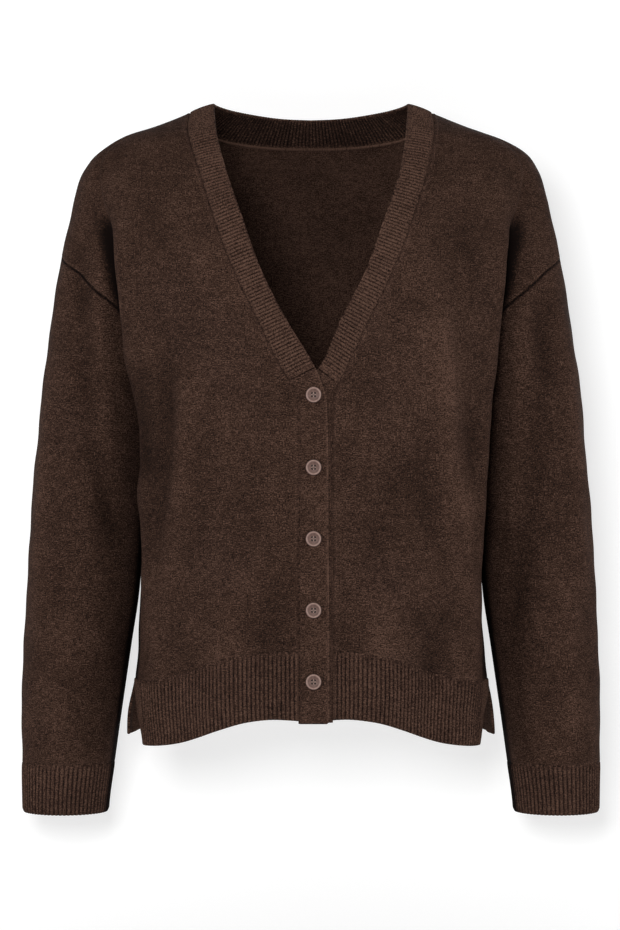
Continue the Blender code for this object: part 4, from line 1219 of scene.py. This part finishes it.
def make_hem_back():
    """The ribs under the back, as half a grid and its mirror image."""
    flat, knot, z, turns, plain, marks = hem_grid(0, 1, ("back_seam", "back_edge"))
    flat, knot, z, plain = doubled(flat, (-1, 1, 1)), doubled(knot), doubled(z), doubled(plain)
    turns, marks = doubled(turns, -1), doubled(marks, -1)
    curl, rise, inner = hem_relief(z, turns, plain, marks, CURL_BACK)
    middle = flat + normals(flat) * (back_height(flat, knot) + curl)[..., None]
    uv = np.stack([marks + 0 * z, z], -1)
    obj = wall("cloth_hem_back", middle, uv, RIB_WALL, rise, inner)
    return dress(obj, "rib", flat)


hem_back = make_hem_back()

# %% [markdown]
# ## The neckband
#
# The neckband is one long strip, ribbed across, from the closing up round the back of the neck and down
# again. It is a short profile carried along two guides: the seam, where it meets the fronts and the
# back, and the free edge. It ends slanting on each side, where the button bands go on.

# %% Guides of the neckband
NECK_PITCH = 3.15 * MM
NECK_END_OVER = (-257.5 * MM, -246 * MM)
NECK_END_UNDER = (-260 * MM, -247 * MM)
SLOPE_STEP = 0.8 * MM
NECK_ROWS, NECK_WIDTH = 12, 22 * MM
SEAM_INSET, EDGE_INSET = 0.2 * MM, 0.3 * MM
NECK_PUFF = 0.9 * MM
EDGE_SOFTENED, WAY_SOFTENED = 14, 20


def closing_line(side, column, z):
    """Points along a seam or an edge of the closing: x = shift(z) + side * column(z), lifted."""
    x = closing_shift(z) + side * look_up(CLOSING, column, z)
    flat = on_form(at_x(np.abs(x), z, -1), z, -1)[0]
    flat[:, 0] *= np.where(x < 0, -1, 1)
    out = form_out(x, z)
    return flat + out * (lift(x, z, side) + moved_at(flat, -1))[:, None]


def form_out(x, z):
    """The way out of the front at x and z, from the form's slope."""

    def place(at, level):
        points = on_form(at_x(np.abs(at), level, -1), level, -1)[0]
        points[:, 0] *= np.where(at < 0, -1, 1)
        return points

    across = place(x + SLOPE_STEP, z) - place(x - SLOPE_STEP, z)
    down = place(x, z - SLOPE_STEP) - place(x, z + SLOPE_STEP)
    out = np.cross(down, across)
    return out / np.linalg.norm(out, axis=1)[:, None]


def resampled(points, count):
    """A line with evenly spaced points."""
    along = lengths_of(points)
    at = np.linspace(0, along[-1], count)
    return np.column_stack([np.interp(at, along, points[:, i]) for i in range(3)])


def neck_guides():
    """Seam and edge as lines, from the end that lies over, round the back, to the end that lies under."""
    seams, edges = [], []
    for side, name, ends in ((-1, "over", NECK_END_OVER), (1, "under", NECK_END_UNDER)):
        seams.append(closing_line(side, name + "_seam", np.arange(ends[0], NECK_POINT, 1 * MM)))
        edges.append(closing_line(side, name + "_edge", np.arange(ends[1], 0.9 * MM, 1 * MM)))
    turn = np.linspace(NECK_TURN, 0, 80) * MM
    z = neck_at("seam_z", turn)
    seam = on_form(at_x(neck_at("seam_x", turn), z, 1), z, 1)[0]
    edge = np.column_stack([neck_at("edge_" + axis, turn) for axis in "xyz"])
    runs = []
    for front_over, back, front_under in ((seams[0], seam, seams[1]), (edges[0], edge, edges[1])):
        round_back = np.vstack([back * (-1, 1, 1), back[::-1][1:]])
        runs.append((front_over, round_back, front_under[::-1]))
    seam_line, edge_line, turns, base = [], [], [], 0
    for number in range(3):
        seam, edge = runs[0][number], runs[1][number]
        ribs = round((lengths_of(seam)[-1] + lengths_of(edge)[-1]) / 2 / NECK_PITCH)
        count = ribs * PER_RIB + 1
        first = 1 if number else 0
        seam_line.append(resampled(seam, count)[first:])
        edge_line.append(resampled(edge, count)[first:])
        turns.append(base + np.arange(count)[first:] / PER_RIB)
        base += ribs
    return np.vstack(seam_line), np.vstack(edge_line), np.concatenate(turns)


def blurred(values, reach):
    """Running mean along the first axis, to take the corners out of a guide."""
    window = np.hanning(2 * reach + 1)
    window /= window.sum()
    padded = np.pad(values, ((reach, reach), (0, 0)), mode="edge")
    columns = [np.convolve(padded[:, i], window, mode="valid") for i in range(values.shape[1])]
    return np.column_stack(columns)


def make_neckband():
    """Rows from seam to edge, puffed out between; the ribs fade at both borders and at both ends."""
    seam, edge, turns = neck_guides()
    across = edge - seam
    inward = across / np.linalg.norm(across, axis=1)[:, None]
    seam = seam + inward * SEAM_INSET
    edge = blurred(edge - inward * EDGE_INSET, EDGE_SOFTENED)
    across = edge - seam
    way = np.gradient(blurred((edge + seam) / 2, WAY_SOFTENED), axis=0)
    out = np.cross(across, way)
    out /= np.linalg.norm(out, axis=1)[:, None]
    part = np.linspace(0, 1, NECK_ROWS)[:, None]
    puff = NECK_PUFF * np.sin(math.pi * part) ** 0.8
    middle = seam + across * part[..., None] + out * puff[..., None]
    fade = 0.25 + 0.75 * ease(0, 0.12, part) * (1 - 0.8 * ease(0.86, 1, part))
    along = lengths_of((seam + edge) / 2)
    from_end = np.minimum(along, along[-1] - along)
    fade = fade * (0.12 + 0.88 * ease(1 * MM, 9 * MM, from_end))
    borders = bell(part / 0.05) + bell((1 - part) / 0.06)
    tone = 0.3 * borders - 0.22 + 0 * along
    uv = np.stack([np.repeat(along[None, :], NECK_ROWS, 0), part * NECK_WIDTH + 0 * along], -1)
    rise, inner = rib(turns) * fade, rib(turns + 0.5) * fade
    obj = wall("cloth_neckband", middle[::-1], uv[::-1], RIB_WALL, rise[::-1], inner[::-1], tone=tone[::-1])
    return dress(obj, "rib", middle)


neckband = make_neckband()

# %% [markdown]
# ## The button bands
#
# Below the neckband the opening goes on as two plain doubled strips, and the wearer's right one lies
# over the left one. A doubled strip is a little fuller than a single layer: its face is slightly
# crowned, its free edge is a soft roll, and it is drawn in a little at each buttonhole.

# %% Bands
BAND_END = -558.5 * MM
BAND_CORNER = 3.5 * MM
BAND_WALL = 2.4 * MM
BAND_ROWS, BAND_COLUMNS = 260, 15
CROWN, DRAWN, DRAWN_REACH = 0.35 * MM, 0.25 * MM, 9 * MM
BUTTONS, FIRST_BUTTON, BUTTON_PITCH = 5, -269.5 * MM, 63 * MM


def make_band(name, side, column, ends, bottom):
    """Rows down and columns across between the seam and the free edge, with a crowned face."""
    part = np.linspace(0, 1, BAND_ROWS)
    seam_z = ends[0] - 2 * SEAM + (bottom - ends[0]) * part
    edge_z = ends[1] - 2 * SEAM + (bottom - ends[1]) * part
    edge_z[-1] += BAND_CORNER
    seam_x = closing_shift(seam_z) + side * (look_up(CLOSING, column + "_seam", seam_z) - SEAM)
    edge_x = closing_shift(edge_z) + side * look_up(CLOSING, column + "_edge", edge_z)
    across = np.linspace(0, 1, BAND_COLUMNS)
    x = seam_x[:, None] + (edge_x - seam_x)[:, None] * across
    z = seam_z[:, None] + (edge_z - seam_z)[:, None] * across
    z[-1, 1:-1] = bottom
    flat_x, flat_z = x.ravel(), z.ravel()
    flat = on_form(at_x(np.abs(flat_x), flat_z, -1), flat_z, -1)[0]
    flat[:, 0] *= np.where(flat_x < 0, -1, 1)
    out = form_out(flat_x, flat_z)
    middle = flat + out * (lift(0, flat_z, side) + moved_at(flat, -1))[:, None]
    middle = middle.reshape(BAND_ROWS, BAND_COLUMNS, 3)
    crown = (1 - (2 * across - 1) ** 4) * CROWN
    nearest = np.abs((z - FIRST_BUTTON + BUTTON_PITCH / 2) % BUTTON_PITCH - BUTTON_PITCH / 2)
    drawn = DRAWN * bell(nearest / DRAWN_REACH) * np.sin(math.pi * across)
    rise = crown - drawn + 0.1 * MM * np.sin(z / (2.1 * MM)) * np.sin(z / (5.7 * MM) + 3 * across)
    uv = np.stack([x, z], -1)
    if side > 0:
        middle, rise, uv = middle[:, ::-1], rise[:, ::-1], uv[:, ::-1]
    edge = np.broadcast_to(across if side < 0 else 1 - across, z.shape)
    # A painted highlight on the free edge's roll and painted shade along the seam side; the crown's rise is
    # taken back out of the tone.
    tone = 0.2 * bell((1 - edge) / 0.07) - 0.1 * bell(edge / 0.05) - rise / DEEPEST
    obj = wall("cloth_" + name, middle, uv, BAND_WALL, rise, 0.1 * MM, tone=tone)
    return dress(obj, "band", middle)


button_band = make_band("button_band", -1, "over", NECK_END_OVER, BAND_END)
under_band = make_band("under_band", 1, "under", NECK_END_UNDER, BAND_END + 1 * MM)

# %% [markdown]
# ## Buttons
#
# A button is a turned disc with a raised rim, a dished middle and four holes. It could be a lathe cut,
# but here it is a height over a polar grid, where a hole is a smooth step down. Two crossed runs of
# thread hold it, each of a few strands that dive into the holes.

# %% Buttons
BUTTON_PROFILE = """
radius height
0    1.55
2.6  1.55
4.2  1.75
5.0  2.15
5.7  2.62
6.15 2.72
6.6  2.55
6.95 2.0
7.0  1.55
6.9  1.0
6.3  0.35
5.8  0.05
"""
HOLE_RADIUS, HOLE_OFFSET = 0.8 * MM, 1.25 * MM
HOLE_FLOOR, HOLE_SLOPE = 0.45 * MM, 0.09 * MM
SECTORS = 96
BUTTON_RADII = ((0.02, 0.7, 4), (0.8, 2.8, 19), (3, 7, 17))
BUTTON_CORE = 0.02 * MM
PROFILE = table_rows(BUTTON_PROFILE)[1]
RIM_AT = int(PROFILE[:, 0].argmax())
PROFILE_R, PROFILE_H = PROFILE[: RIM_AT + 1].T


def button_place(number):
    """Where a button sits on the band, and its own axes: across, up and forward, as columns."""
    z = np.array([FIRST_BUTTON - number * BUTTON_PITCH])
    flat = on_form(at_x(np.array([CLOSING_X]), z, -1), z, -1)[0]
    out = form_out(np.array([CLOSING_X]), z)[0]
    spot = flat[0] + out * (lift(0, z, -1)[0] + moved_at(flat, -1)[0] + BAND_WALL / 2 + BUTTON_STANDS)
    across = np.array([1.0, 0, 0]) - out * out[0]
    across /= np.linalg.norm(across)
    return spot, np.column_stack([across, np.cross(out, across), out])


def button_height(x, y, radius):
    """The face's height h, stepped down in each hole: h - (h - floor) (1 - ease(r - s, r + s, distance))."""
    face = np.interp(radius, PROFILE_R, PROFILE_H)
    for sx, sy in ((-1, -1), (1, -1), (1, 1), (-1, 1)):
        distance = np.hypot(x - sx * HOLE_OFFSET, y - sy * HOLE_OFFSET)
        inside = 1 - ease(HOLE_RADIUS - HOLE_SLOPE, HOLE_RADIUS + HOLE_SLOPE, distance)
        face = face - (face - HOLE_FLOOR) * inside
    return face


def make_button(number):
    """Rings from the middle out to the rim and back in underneath, set on the band."""
    spot, axes = button_place(number)
    turn = np.linspace(0, 2 * math.pi, SECTORS + 1)
    radius = np.concatenate([np.linspace(*run) for run in BUTTON_RADII]) * MM
    x, y = radius[:, None] * np.cos(turn), radius[:, None] * np.sin(turn)
    top = np.stack([x, y, button_height(x, y, np.hypot(x, y))], -1)
    under = (*PROFILE[RIM_AT + 1 :], (BUTTON_CORE, 0))
    low = [np.stack([r * np.cos(turn), r * np.sin(turn), 0 * turn + h], -1) for r, h in under]
    grid = np.concatenate([top, np.array(low)])
    points = grid.reshape(-1, 3) @ axes.T + spot
    index = np.arange(len(points)).reshape(grid.shape[:2])
    uv = grid[..., :2].reshape(-1, 2)
    obj = merge(make_mesh(f"disc_{number + 1}", points, grid_faces(index), uv))
    return bind(obj, f"button_{number + 1}")


buttons = [make_button(number) for number in range(BUTTONS)]
print("buttons", len(buttons), "of", len(buttons[0].data.polygons), "faces")

# %% [markdown]
# The thread and the seam's chain are tubes: a ring of points carried along a path and closed at both
# ends. Each run of thread has a few strands side by side.

# %% Tubes and the thread
TUBE_SIDES = 8
TUBE_UV = 0.3 * MM
STRANDS, STRAND_RADIUS = 2, 0.11 * MM


def tube(path, radius):
    """A round tube along a path: p + r (a cos t + b sin t), with a and b across the path."""
    way = np.gradient(path, axis=0)
    way /= np.linalg.norm(way, axis=1)[:, None]
    side = np.cross(way, np.array([0.3, -0.9, 0.31]))
    side /= np.linalg.norm(side, axis=1)[:, None]
    other = np.cross(way, side)
    turn = np.linspace(0, 2 * math.pi, TUBE_SIDES + 1)
    radius = np.broadcast_to(radius, len(path))[:, None, None]
    turn = turn[None, :, None]
    ring = side[:, None] * np.cos(turn) + other[:, None] * np.sin(turn)
    return path[:, None] + ring * radius


def tubes(name, grids):
    """One mesh of many tubes, each closed by a point at both ends."""
    points, faces, uvs, count = [], [], [], 0
    for grid in grids:
        ends = np.repeat(grid[[0, -1]].mean(1)[:, None], grid.shape[1], 1)
        grid = np.concatenate([ends[:1], grid, ends[1:]])
        index = np.arange(grid.shape[0] * grid.shape[1]).reshape(grid.shape[:2]) + count
        points.append(grid.reshape(-1, 3))
        faces.append(grid_faces(index))
        u, v = np.meshgrid(np.arange(grid.shape[1]), np.arange(grid.shape[0]))
        uvs.append(np.column_stack([u.ravel(), v.ravel()]) * TUBE_UV)
        count += index.size
    obj = merge(make_mesh(name, np.concatenate(points), np.concatenate(faces), np.concatenate(uvs)))
    return bind(obj)


def make_threads():
    """Two crossed runs on each button: an arch over the middle that dives into the holes."""
    grids = []
    t = np.linspace(-1, 1, 13)
    for number in range(BUTTONS):
        spot, axes = button_place(number)
        for run, (dx, dy) in enumerate(((1, 1), (1, -1))):
            for strand in range(STRANDS):
                off = (strand - (STRANDS - 1) / 2) * 2 * STRAND_RADIUS * 0.95
                reach = HOLE_OFFSET * t
                arch = (1.7 + 0.26 * run - 1.0 * np.abs(t) ** 5) * MM + 0.05 * MM * np.cos(t * 2)
                x = reach * dx - off * dy / math.sqrt(2)
                y = reach * dy + off * dx / math.sqrt(2)
                grids.append(tube(np.column_stack([x, y, arch]) @ axes.T + spot, STRAND_RADIUS))
    return tubes("button_thread", grids)


threads = make_threads()
print("thread", len(threads.data.polygons), "faces")

# %% [markdown]
# ## The linked seam inside the back of the neck
#
# A fine gauge neckband is linked on loop by loop, and inside the back of the neck that chain of loops
# shows as a beaded line. It is one tube, whose radius swells and shrinks once a loop.

# %% Chain seam
CHAIN_PITCH = 1.6 * MM
CHAIN_RADIUS = 1.7 * MM
CHAIN_TURN, CHAIN_BELOW = 92, 0.8 * MM


def make_chain():
    """A tube of radius r0 (0.6 + 0.4 |sin(pi s / pitch)|) just under the neckband, inside the back."""
    turn = np.linspace(-CHAIN_TURN, CHAIN_TURN, 400) * MM
    z = neck_at("seam_z", np.abs(turn)) - CHAIN_BELOW
    x = neck_at("seam_x", np.abs(turn))
    flat = on_form(at_x(x, z, 1), z, 1)[0]
    flat[:, 0] *= np.sign(turn)
    inward = np.array([0, -1, 0.0]) * (CLOTH / 2)
    path = resampled(flat + inward, 900)
    along = lengths_of(path)
    radius = CHAIN_RADIUS * (0.6 + 0.4 * np.abs(np.sin(math.pi * along / CHAIN_PITCH)))
    return tubes("chain_seam", [tube(path, radius)])


chain = make_chain()
print("chain", len(chain.data.polygons), "faces")

# %% [markdown]
# ## Yarn, rib and button materials
#
# The shader works in metres of cloth, so every pattern below has a real size: wales of 1.45 mm, courses
# of 1.05 mm, and streaks a few stitches long where the fibres of several browns show side by side.

# %% Shader arithmetic
class Wire:
    """A value inside a shader. Python's operators on it add the Math nodes."""

    def __init__(self, look, socket):
        self.look, self.socket = look, socket

    def math(self, operation, *terms):
        inputs = dict(enumerate(terms))
        return self.look.node("ShaderNodeMath", {"operation": operation}, inputs)

    def __add__(self, other):
        return self.math("ADD", self, other)

    def __sub__(self, other):
        return self.math("SUBTRACT", self, other)

    def __rsub__(self, other):
        return self.math("SUBTRACT", other, self)

    def __mul__(self, other):
        return self.math("MULTIPLY", self, other)

    def __truediv__(self, other):
        return self.math("DIVIDE", self, other)

    def __rtruediv__(self, other):
        return self.math("DIVIDE", other, self)

    def __pow__(self, other):
        return self.math("POWER", self, other)

    def __neg__(self):
        return self.math("MULTIPLY", self, -1.0)

    __radd__, __rmul__ = __add__, __mul__

    def sin(self):
        return self.math("SINE", self)

    def abs(self):
        return self.math("ABSOLUTE", self)

    def fraction(self):
        return self.math("FRACT", self)

    def step(self, low, high):
        """0 below low, 1 above high and smooth between."""
        settings = {"interpolation_type": "SMOOTHSTEP"}
        inputs = {"Value": self, "From Min": low, "From Max": high, "To Min": 0.0, "To Max": 1.0}
        return self.look.node("ShaderNodeMapRange", settings, inputs)


class Look:
    """A material under construction, with one method that adds any node."""

    def __init__(self, name):
        self.material = bpy.data.materials.new(name)
        self.material.use_nodes = True
        self.tree = self.material.node_tree
        self.tree.nodes.clear()

    def node(self, kind, settings=None, inputs=None, output=0):
        """Settings first, since they can change the sockets; then each input's value or link."""
        node = self.tree.nodes.new(kind)
        for name, value in (settings or {}).items():
            setattr(node, name, value)
        for name, value in (inputs or {}).items():
            if isinstance(value, Wire):
                self.tree.links.new(value.socket, node.inputs[name])
            else:
                node.inputs[name].default_value = value
        return Wire(self, node.outputs[output])

    def blend(self, share, low, high):
        """low + (high - low) * share for colours: inputs 6 and 7, and output 2, are this node's colours."""
        settings = {"data_type": "RGBA", "clamp_factor": True}
        return self.node("ShaderNodeMix", settings, {0: share, 6: low, 7: high}, output=2)

    def noise(self, vector, scale, detail=2.0, roughness=0.5):
        inputs = {"Vector": vector, "Scale": scale, "Detail": detail, "Roughness": roughness}
        return self.node("ShaderNodeTexNoise", {"noise_dimensions": "2D"}, inputs)

    def vector(self, x, y, z=0.0):
        return self.node("ShaderNodeCombineXYZ", None, {"X": x, "Y": y, "Z": z})

    def cloth(self):
        """The two texture coordinates, in metres along the course and up the wale."""
        uv = self.node("ShaderNodeUVMap", {"uv_map": "cloth"})
        return [self.node("ShaderNodeSeparateXYZ", None, {"Vector": uv}, output=i) for i in (0, 1)]

    def finish(self, inputs, height=None, strength=1.0, distance=0.3 * MM):
        """The Principled shader, with the bump where there is one."""
        if height is not None:
            bump = {"Height": height, "Strength": strength, "Distance": distance}
            inputs = {**inputs, "Normal": self.node("ShaderNodeBump", None, bump)}
        shader = self.node("ShaderNodeBsdfPrincipled", None, inputs)
        self.node_out(shader)
        return self.material

    def node_out(self, shader):
        out = self.tree.nodes.new("ShaderNodeOutputMaterial")
        self.tree.links.new(shader.socket, out.inputs["Surface"])


print("shader helpers ready")

# %% [markdown]
# The yarn mixes three browns by a share, from dark at 0 to light above 1. Streaks, flecks and slow
# patches give that share. To it come how high the stitch stands, as painted shade in the grooves
# between stitches, and the tone kept with each point, which holds painted light and shade and the
# dark seam lines.

# %% The yarn
def rgb(red, green, blue):
    """A colour given as on a screen, 0 to 255, made linear."""
    values = np.array([red, green, blue]) / 255
    linear = np.where(values <= 0.04045, values / 12.92, ((values + 0.055) / 1.055) ** 2.4)
    return (*linear.tolist(), 1.0)


WALE, COURSE = 1.45 * MM, 1.05 * MM
STITCH_DEPTH = 0.09 * MM
YARN_DARK = rgb(11, 6, 5)
YARN_MIDDLE = rgb(36, 24, 19)
YARN_LIGHT = rgb(73, 54, 45)


def melange(look, u, v):
    """Streaks of lighter and darker fibre along the course, a fine fleck and a slow change of tone."""
    wander = look.noise(look.vector(u, v), 200.0, 1.0)
    bent = v + (wander - 0.5) * (2.0 * MM)
    streak = look.noise(look.vector(u * 0.25, bent), 900.0, 2.0, 0.6)
    fleck = look.noise(look.vector(u * 0.65, v), 1200.0, 1.0)
    patch = look.noise(look.vector(u * 0.45, bent), 170.0, 2.0, 0.6)
    slow = look.noise(look.vector(u, v), 24.0, 2.0)
    return (streak - 0.5) + (fleck - 0.5) * 1.6 + (patch - 0.5) * 0.4 + (slow - 0.5) * 0.25 + 0.56


def stitches(look, u, v):
    """Knit's V: sin(pi m) (0.65 + 0.35 sin(2 pi (v / course - 0.7 m))), with m = |2 frac(u / wale) - 1|."""
    across = ((u / WALE).fraction() * 2.0 - 1.0).abs()
    leg = (across * math.pi).sin()
    loop = ((v / COURSE - across * 0.7) * (2 * math.pi)).sin()
    return leg * (loop * 0.35 + 0.65)


def knit_look(name, tone=0.0):
    """The yarn's three browns by share, with the stitches and a fuzz as a bump."""
    look = Look(name)
    u, v = look.cloth()
    share = melange(look, u, v) + tone
    height = stitches(look, u, v)
    # Higher stitch lighter and the grooves between stitches darker: painted shade.
    share = share + (height - 0.4) * 0.22
    # Each point's tone: painted light and shade of the folds, relief, rims and bands, with the dark seam
    # lines.
    share = share + look.node("ShaderNodeAttribute", {"attribute_name": "tone"}, output=2)
    dark = look.blend(share.step(0.0, 0.55), YARN_DARK, YARN_MIDDLE)
    colour = look.blend(share.step(0.5, 1.15), dark, YARN_LIGHT)
    fuzz = look.noise(look.vector(u, v), 1500.0, 2.0)
    inputs = {"Base Color": colour, "Roughness": 0.93, "Specular IOR Level": 0.03}
    return look.finish(inputs, height + fuzz * 0.5, 1.0, STITCH_DEPTH)


def button_look():
    """Cloudy plastic, with painted highlights on the rim and between the holes, and painted shade in the
    holes and round the edge.
    """
    look = Look("button")
    u, v = look.cloth()
    radius = (u * u + v * v) ** 0.5
    cloudy = look.noise(look.vector(u, v), 420.0, 2.0)
    # A painted highlight on the rim and on the cross between the holes.
    rim = radius.step(4.6 * MM, 5.9 * MM)
    hole_u, hole_v = u.abs() - HOLE_OFFSET, v.abs() - HOLE_OFFSET
    hole = (hole_u * hole_u + hole_v * hole_v) ** 0.5
    cross = 1.0 - u.math("MINIMUM", u.abs(), v.abs()).step(0.25 * MM, 0.7 * MM)
    lit = cross * (1.0 - radius.step(1.8 * MM, 2.4 * MM))
    face = look.blend(cloudy * 0.4 + rim * 0.6 + lit * 0.6, rgb(60, 42, 37), rgb(124, 102, 94))
    # Painted shade in the holes and round the button's edge.
    face = look.blend(hole.step(0.75 * MM, 1.05 * MM), rgb(8, 5, 4), face)
    face = look.blend(radius.step(6.3 * MM, 6.9 * MM), face, rgb(40, 27, 24))
    inputs = {"Base Color": face, "Roughness": 0.5, "Specular IOR Level": 0.14}
    return look.finish(inputs)


def thread_look():
    """Two tones of thread in a twist of 0.5 mm."""
    look = Look("thread")
    u, v = look.cloth()
    twist = ((u + v * 1.5) * (2 * math.pi / (0.5 * MM))).sin()
    colour = look.blend(twist * 0.5 + 0.5, rgb(58, 42, 36), rgb(112, 94, 85))
    return look.finish({"Base Color": colour, "Roughness": 0.8}, twist, 0.6, 0.05 * MM)


knit = knit_look("fine_knit")
ribbed = knit_look("ribbed_knit")
banded = knit_look("banded_knit", 0.05)
linked = knit_look("linked_yarn", 0.65)
plastic, cotton = button_look(), thread_look()
looks = {"knit": knit, "rib": ribbed, "band": banded}
for obj, slot, *_ in SHEETS:
    obj.data.materials.append(looks[slot])
for disc in buttons:
    disc.data.materials.append(plastic)
threads.data.materials.append(cotton)
chain.data.materials.append(linked)
print("materials", [material.name for material in bpy.data.materials])

# %% [markdown]
# ## Stage, light and camera
#
# The photograph has a white sweep close behind the garment, which takes a soft shadow low and to the
# right. The sweep is seen from the front only, so that the garment can be looked at from behind too.

# %% The sweep
WALL_Y = 0.13
FLOOR_Z = -0.80
SWEEP_RADIUS = 0.30
SWEEP_WIDTH = 3.0
SWEEP_TOP = 1.3
SWEEP_FRONT = -2.0
SWEEP_GREY, SWEEP_GLOW = 0.45, 0.66


def make_sweep():
    """A profile of floor, quarter circle and wall, carried sideways."""
    angle = np.linspace(0, math.pi / 2, 24)
    bend_y = WALL_Y - SWEEP_RADIUS * (1 - np.sin(angle))
    bend = np.column_stack([bend_y, FLOOR_Z + SWEEP_RADIUS * (1 - np.cos(angle))])
    profile = np.vstack([[SWEEP_FRONT, FLOOR_Z], bend, [WALL_Y, SWEEP_TOP]])
    x = np.array([-SWEEP_WIDTH, SWEEP_WIDTH])
    grid = np.stack([
        np.repeat(x[None, :], len(profile), 0),
        np.repeat(profile[:, :1], 2, 1),
        np.repeat(profile[:, 1:], 2, 1),
    ], -1)
    index = np.arange(grid[..., 0].size).reshape(grid.shape[:2])
    obj = make_mesh("sweep", grid.reshape(-1, 3), grid_faces(index), grid[..., :2].reshape(-1, 2))
    look = Look("sweep")
    behind = look.node("ShaderNodeNewGeometry", output=6)
    glow = {"Base Color": (*[SWEEP_GREY] * 3, 1), "Roughness": 0.9}
    glow.update({"Emission Color": (1, 1, 1, 1), "Emission Strength": SWEEP_GLOW})
    white = look.node("ShaderNodeBsdfPrincipled", None, glow)
    clear = look.node("ShaderNodeBsdfTransparent")
    look.node_out(look.node("ShaderNodeMixShader", None, {0: behind, 1: white, 2: clear}))
    obj.data.materials.append(look.material)
    obj.visible_shadow = False
    return obj


sweep = make_sweep()
print("sweep", len(sweep.data.polygons), "faces")

# %% [markdown]
# One light, above the camera and to its left, gives the shadow on the sweep. The three others, to both
# sides and behind, light the garment alone, so that the sweep stays even. The camera looks level at the
# middle of the garment through a long lens.

# %% Light and camera
LIGHT_AIM = (0, 0, -0.33)
WORLD_LIGHT = 0.12
CAMERA_PLACE = (-0.9 * MM, -2.6, -331 * MM)
LENS, SENSOR = 109.4, 36


def add_light(name, place, size, power):
    """A rectangular light of a size in metres and a power in watts, turned toward the garment."""
    light = bpy.data.lights.new(name, "AREA")
    light.shape, light.size, light.size_y = "RECTANGLE", size[0], size[1]
    light.energy = power
    obj = bpy.data.objects.new(name, light)
    way = np.array(LIGHT_AIM) - np.array(place)
    flat = math.hypot(way[0], way[1])
    obj.location = place
    obj.rotation_euler = (math.pi / 2 + math.atan2(way[2], flat), 0, math.atan2(-way[0], way[1]))
    bpy.context.scene.collection.objects.link(obj)
    return obj


key = add_light("key", (-0.32, -2.2, 0.06), (0.6, 0.6), 34)
sides = [
    add_light("left_box", (-2.0, -1.35, 0.25), (0.9, 1.6), 47),
    add_light("right_box", (2.1, -1.1, 0.1), (0.9, 1.6), 46),
    add_light("back_fill", (0.4, 2.2, 0.6), (1.2, 1.2), 40),
]
lit = bpy.data.collections.new("lit_from_the_sides")
for obj in bpy.context.scene.objects:
    if obj.type == "MESH" and obj is not sweep:
        lit.objects.link(obj)
for light in sides:
    light.light_linking.receiver_collection = lit
world = bpy.data.worlds.new("world")
world.use_nodes = True
world.node_tree.nodes["Background"].inputs["Color"].default_value = (1, 1, 1, 1)
world.node_tree.nodes["Background"].inputs["Strength"].default_value = WORLD_LIGHT
bpy.context.scene.world = world

camera_data = bpy.data.cameras.new("camera")
camera_data.lens, camera_data.sensor_width = LENS, SENSOR
camera = bpy.data.objects.new("camera", camera_data)
camera.location, camera.rotation_euler = CAMERA_PLACE, (math.pi / 2, 0, 0)
bpy.context.scene.collection.objects.link(camera)
bpy.context.scene.camera = camera
bpy.context.scene.view_settings.view_transform = "Standard"
print("lights", key.name, *(light.name for light in sides), "and a camera", -CAMERA_PLACE[1], "m in front")
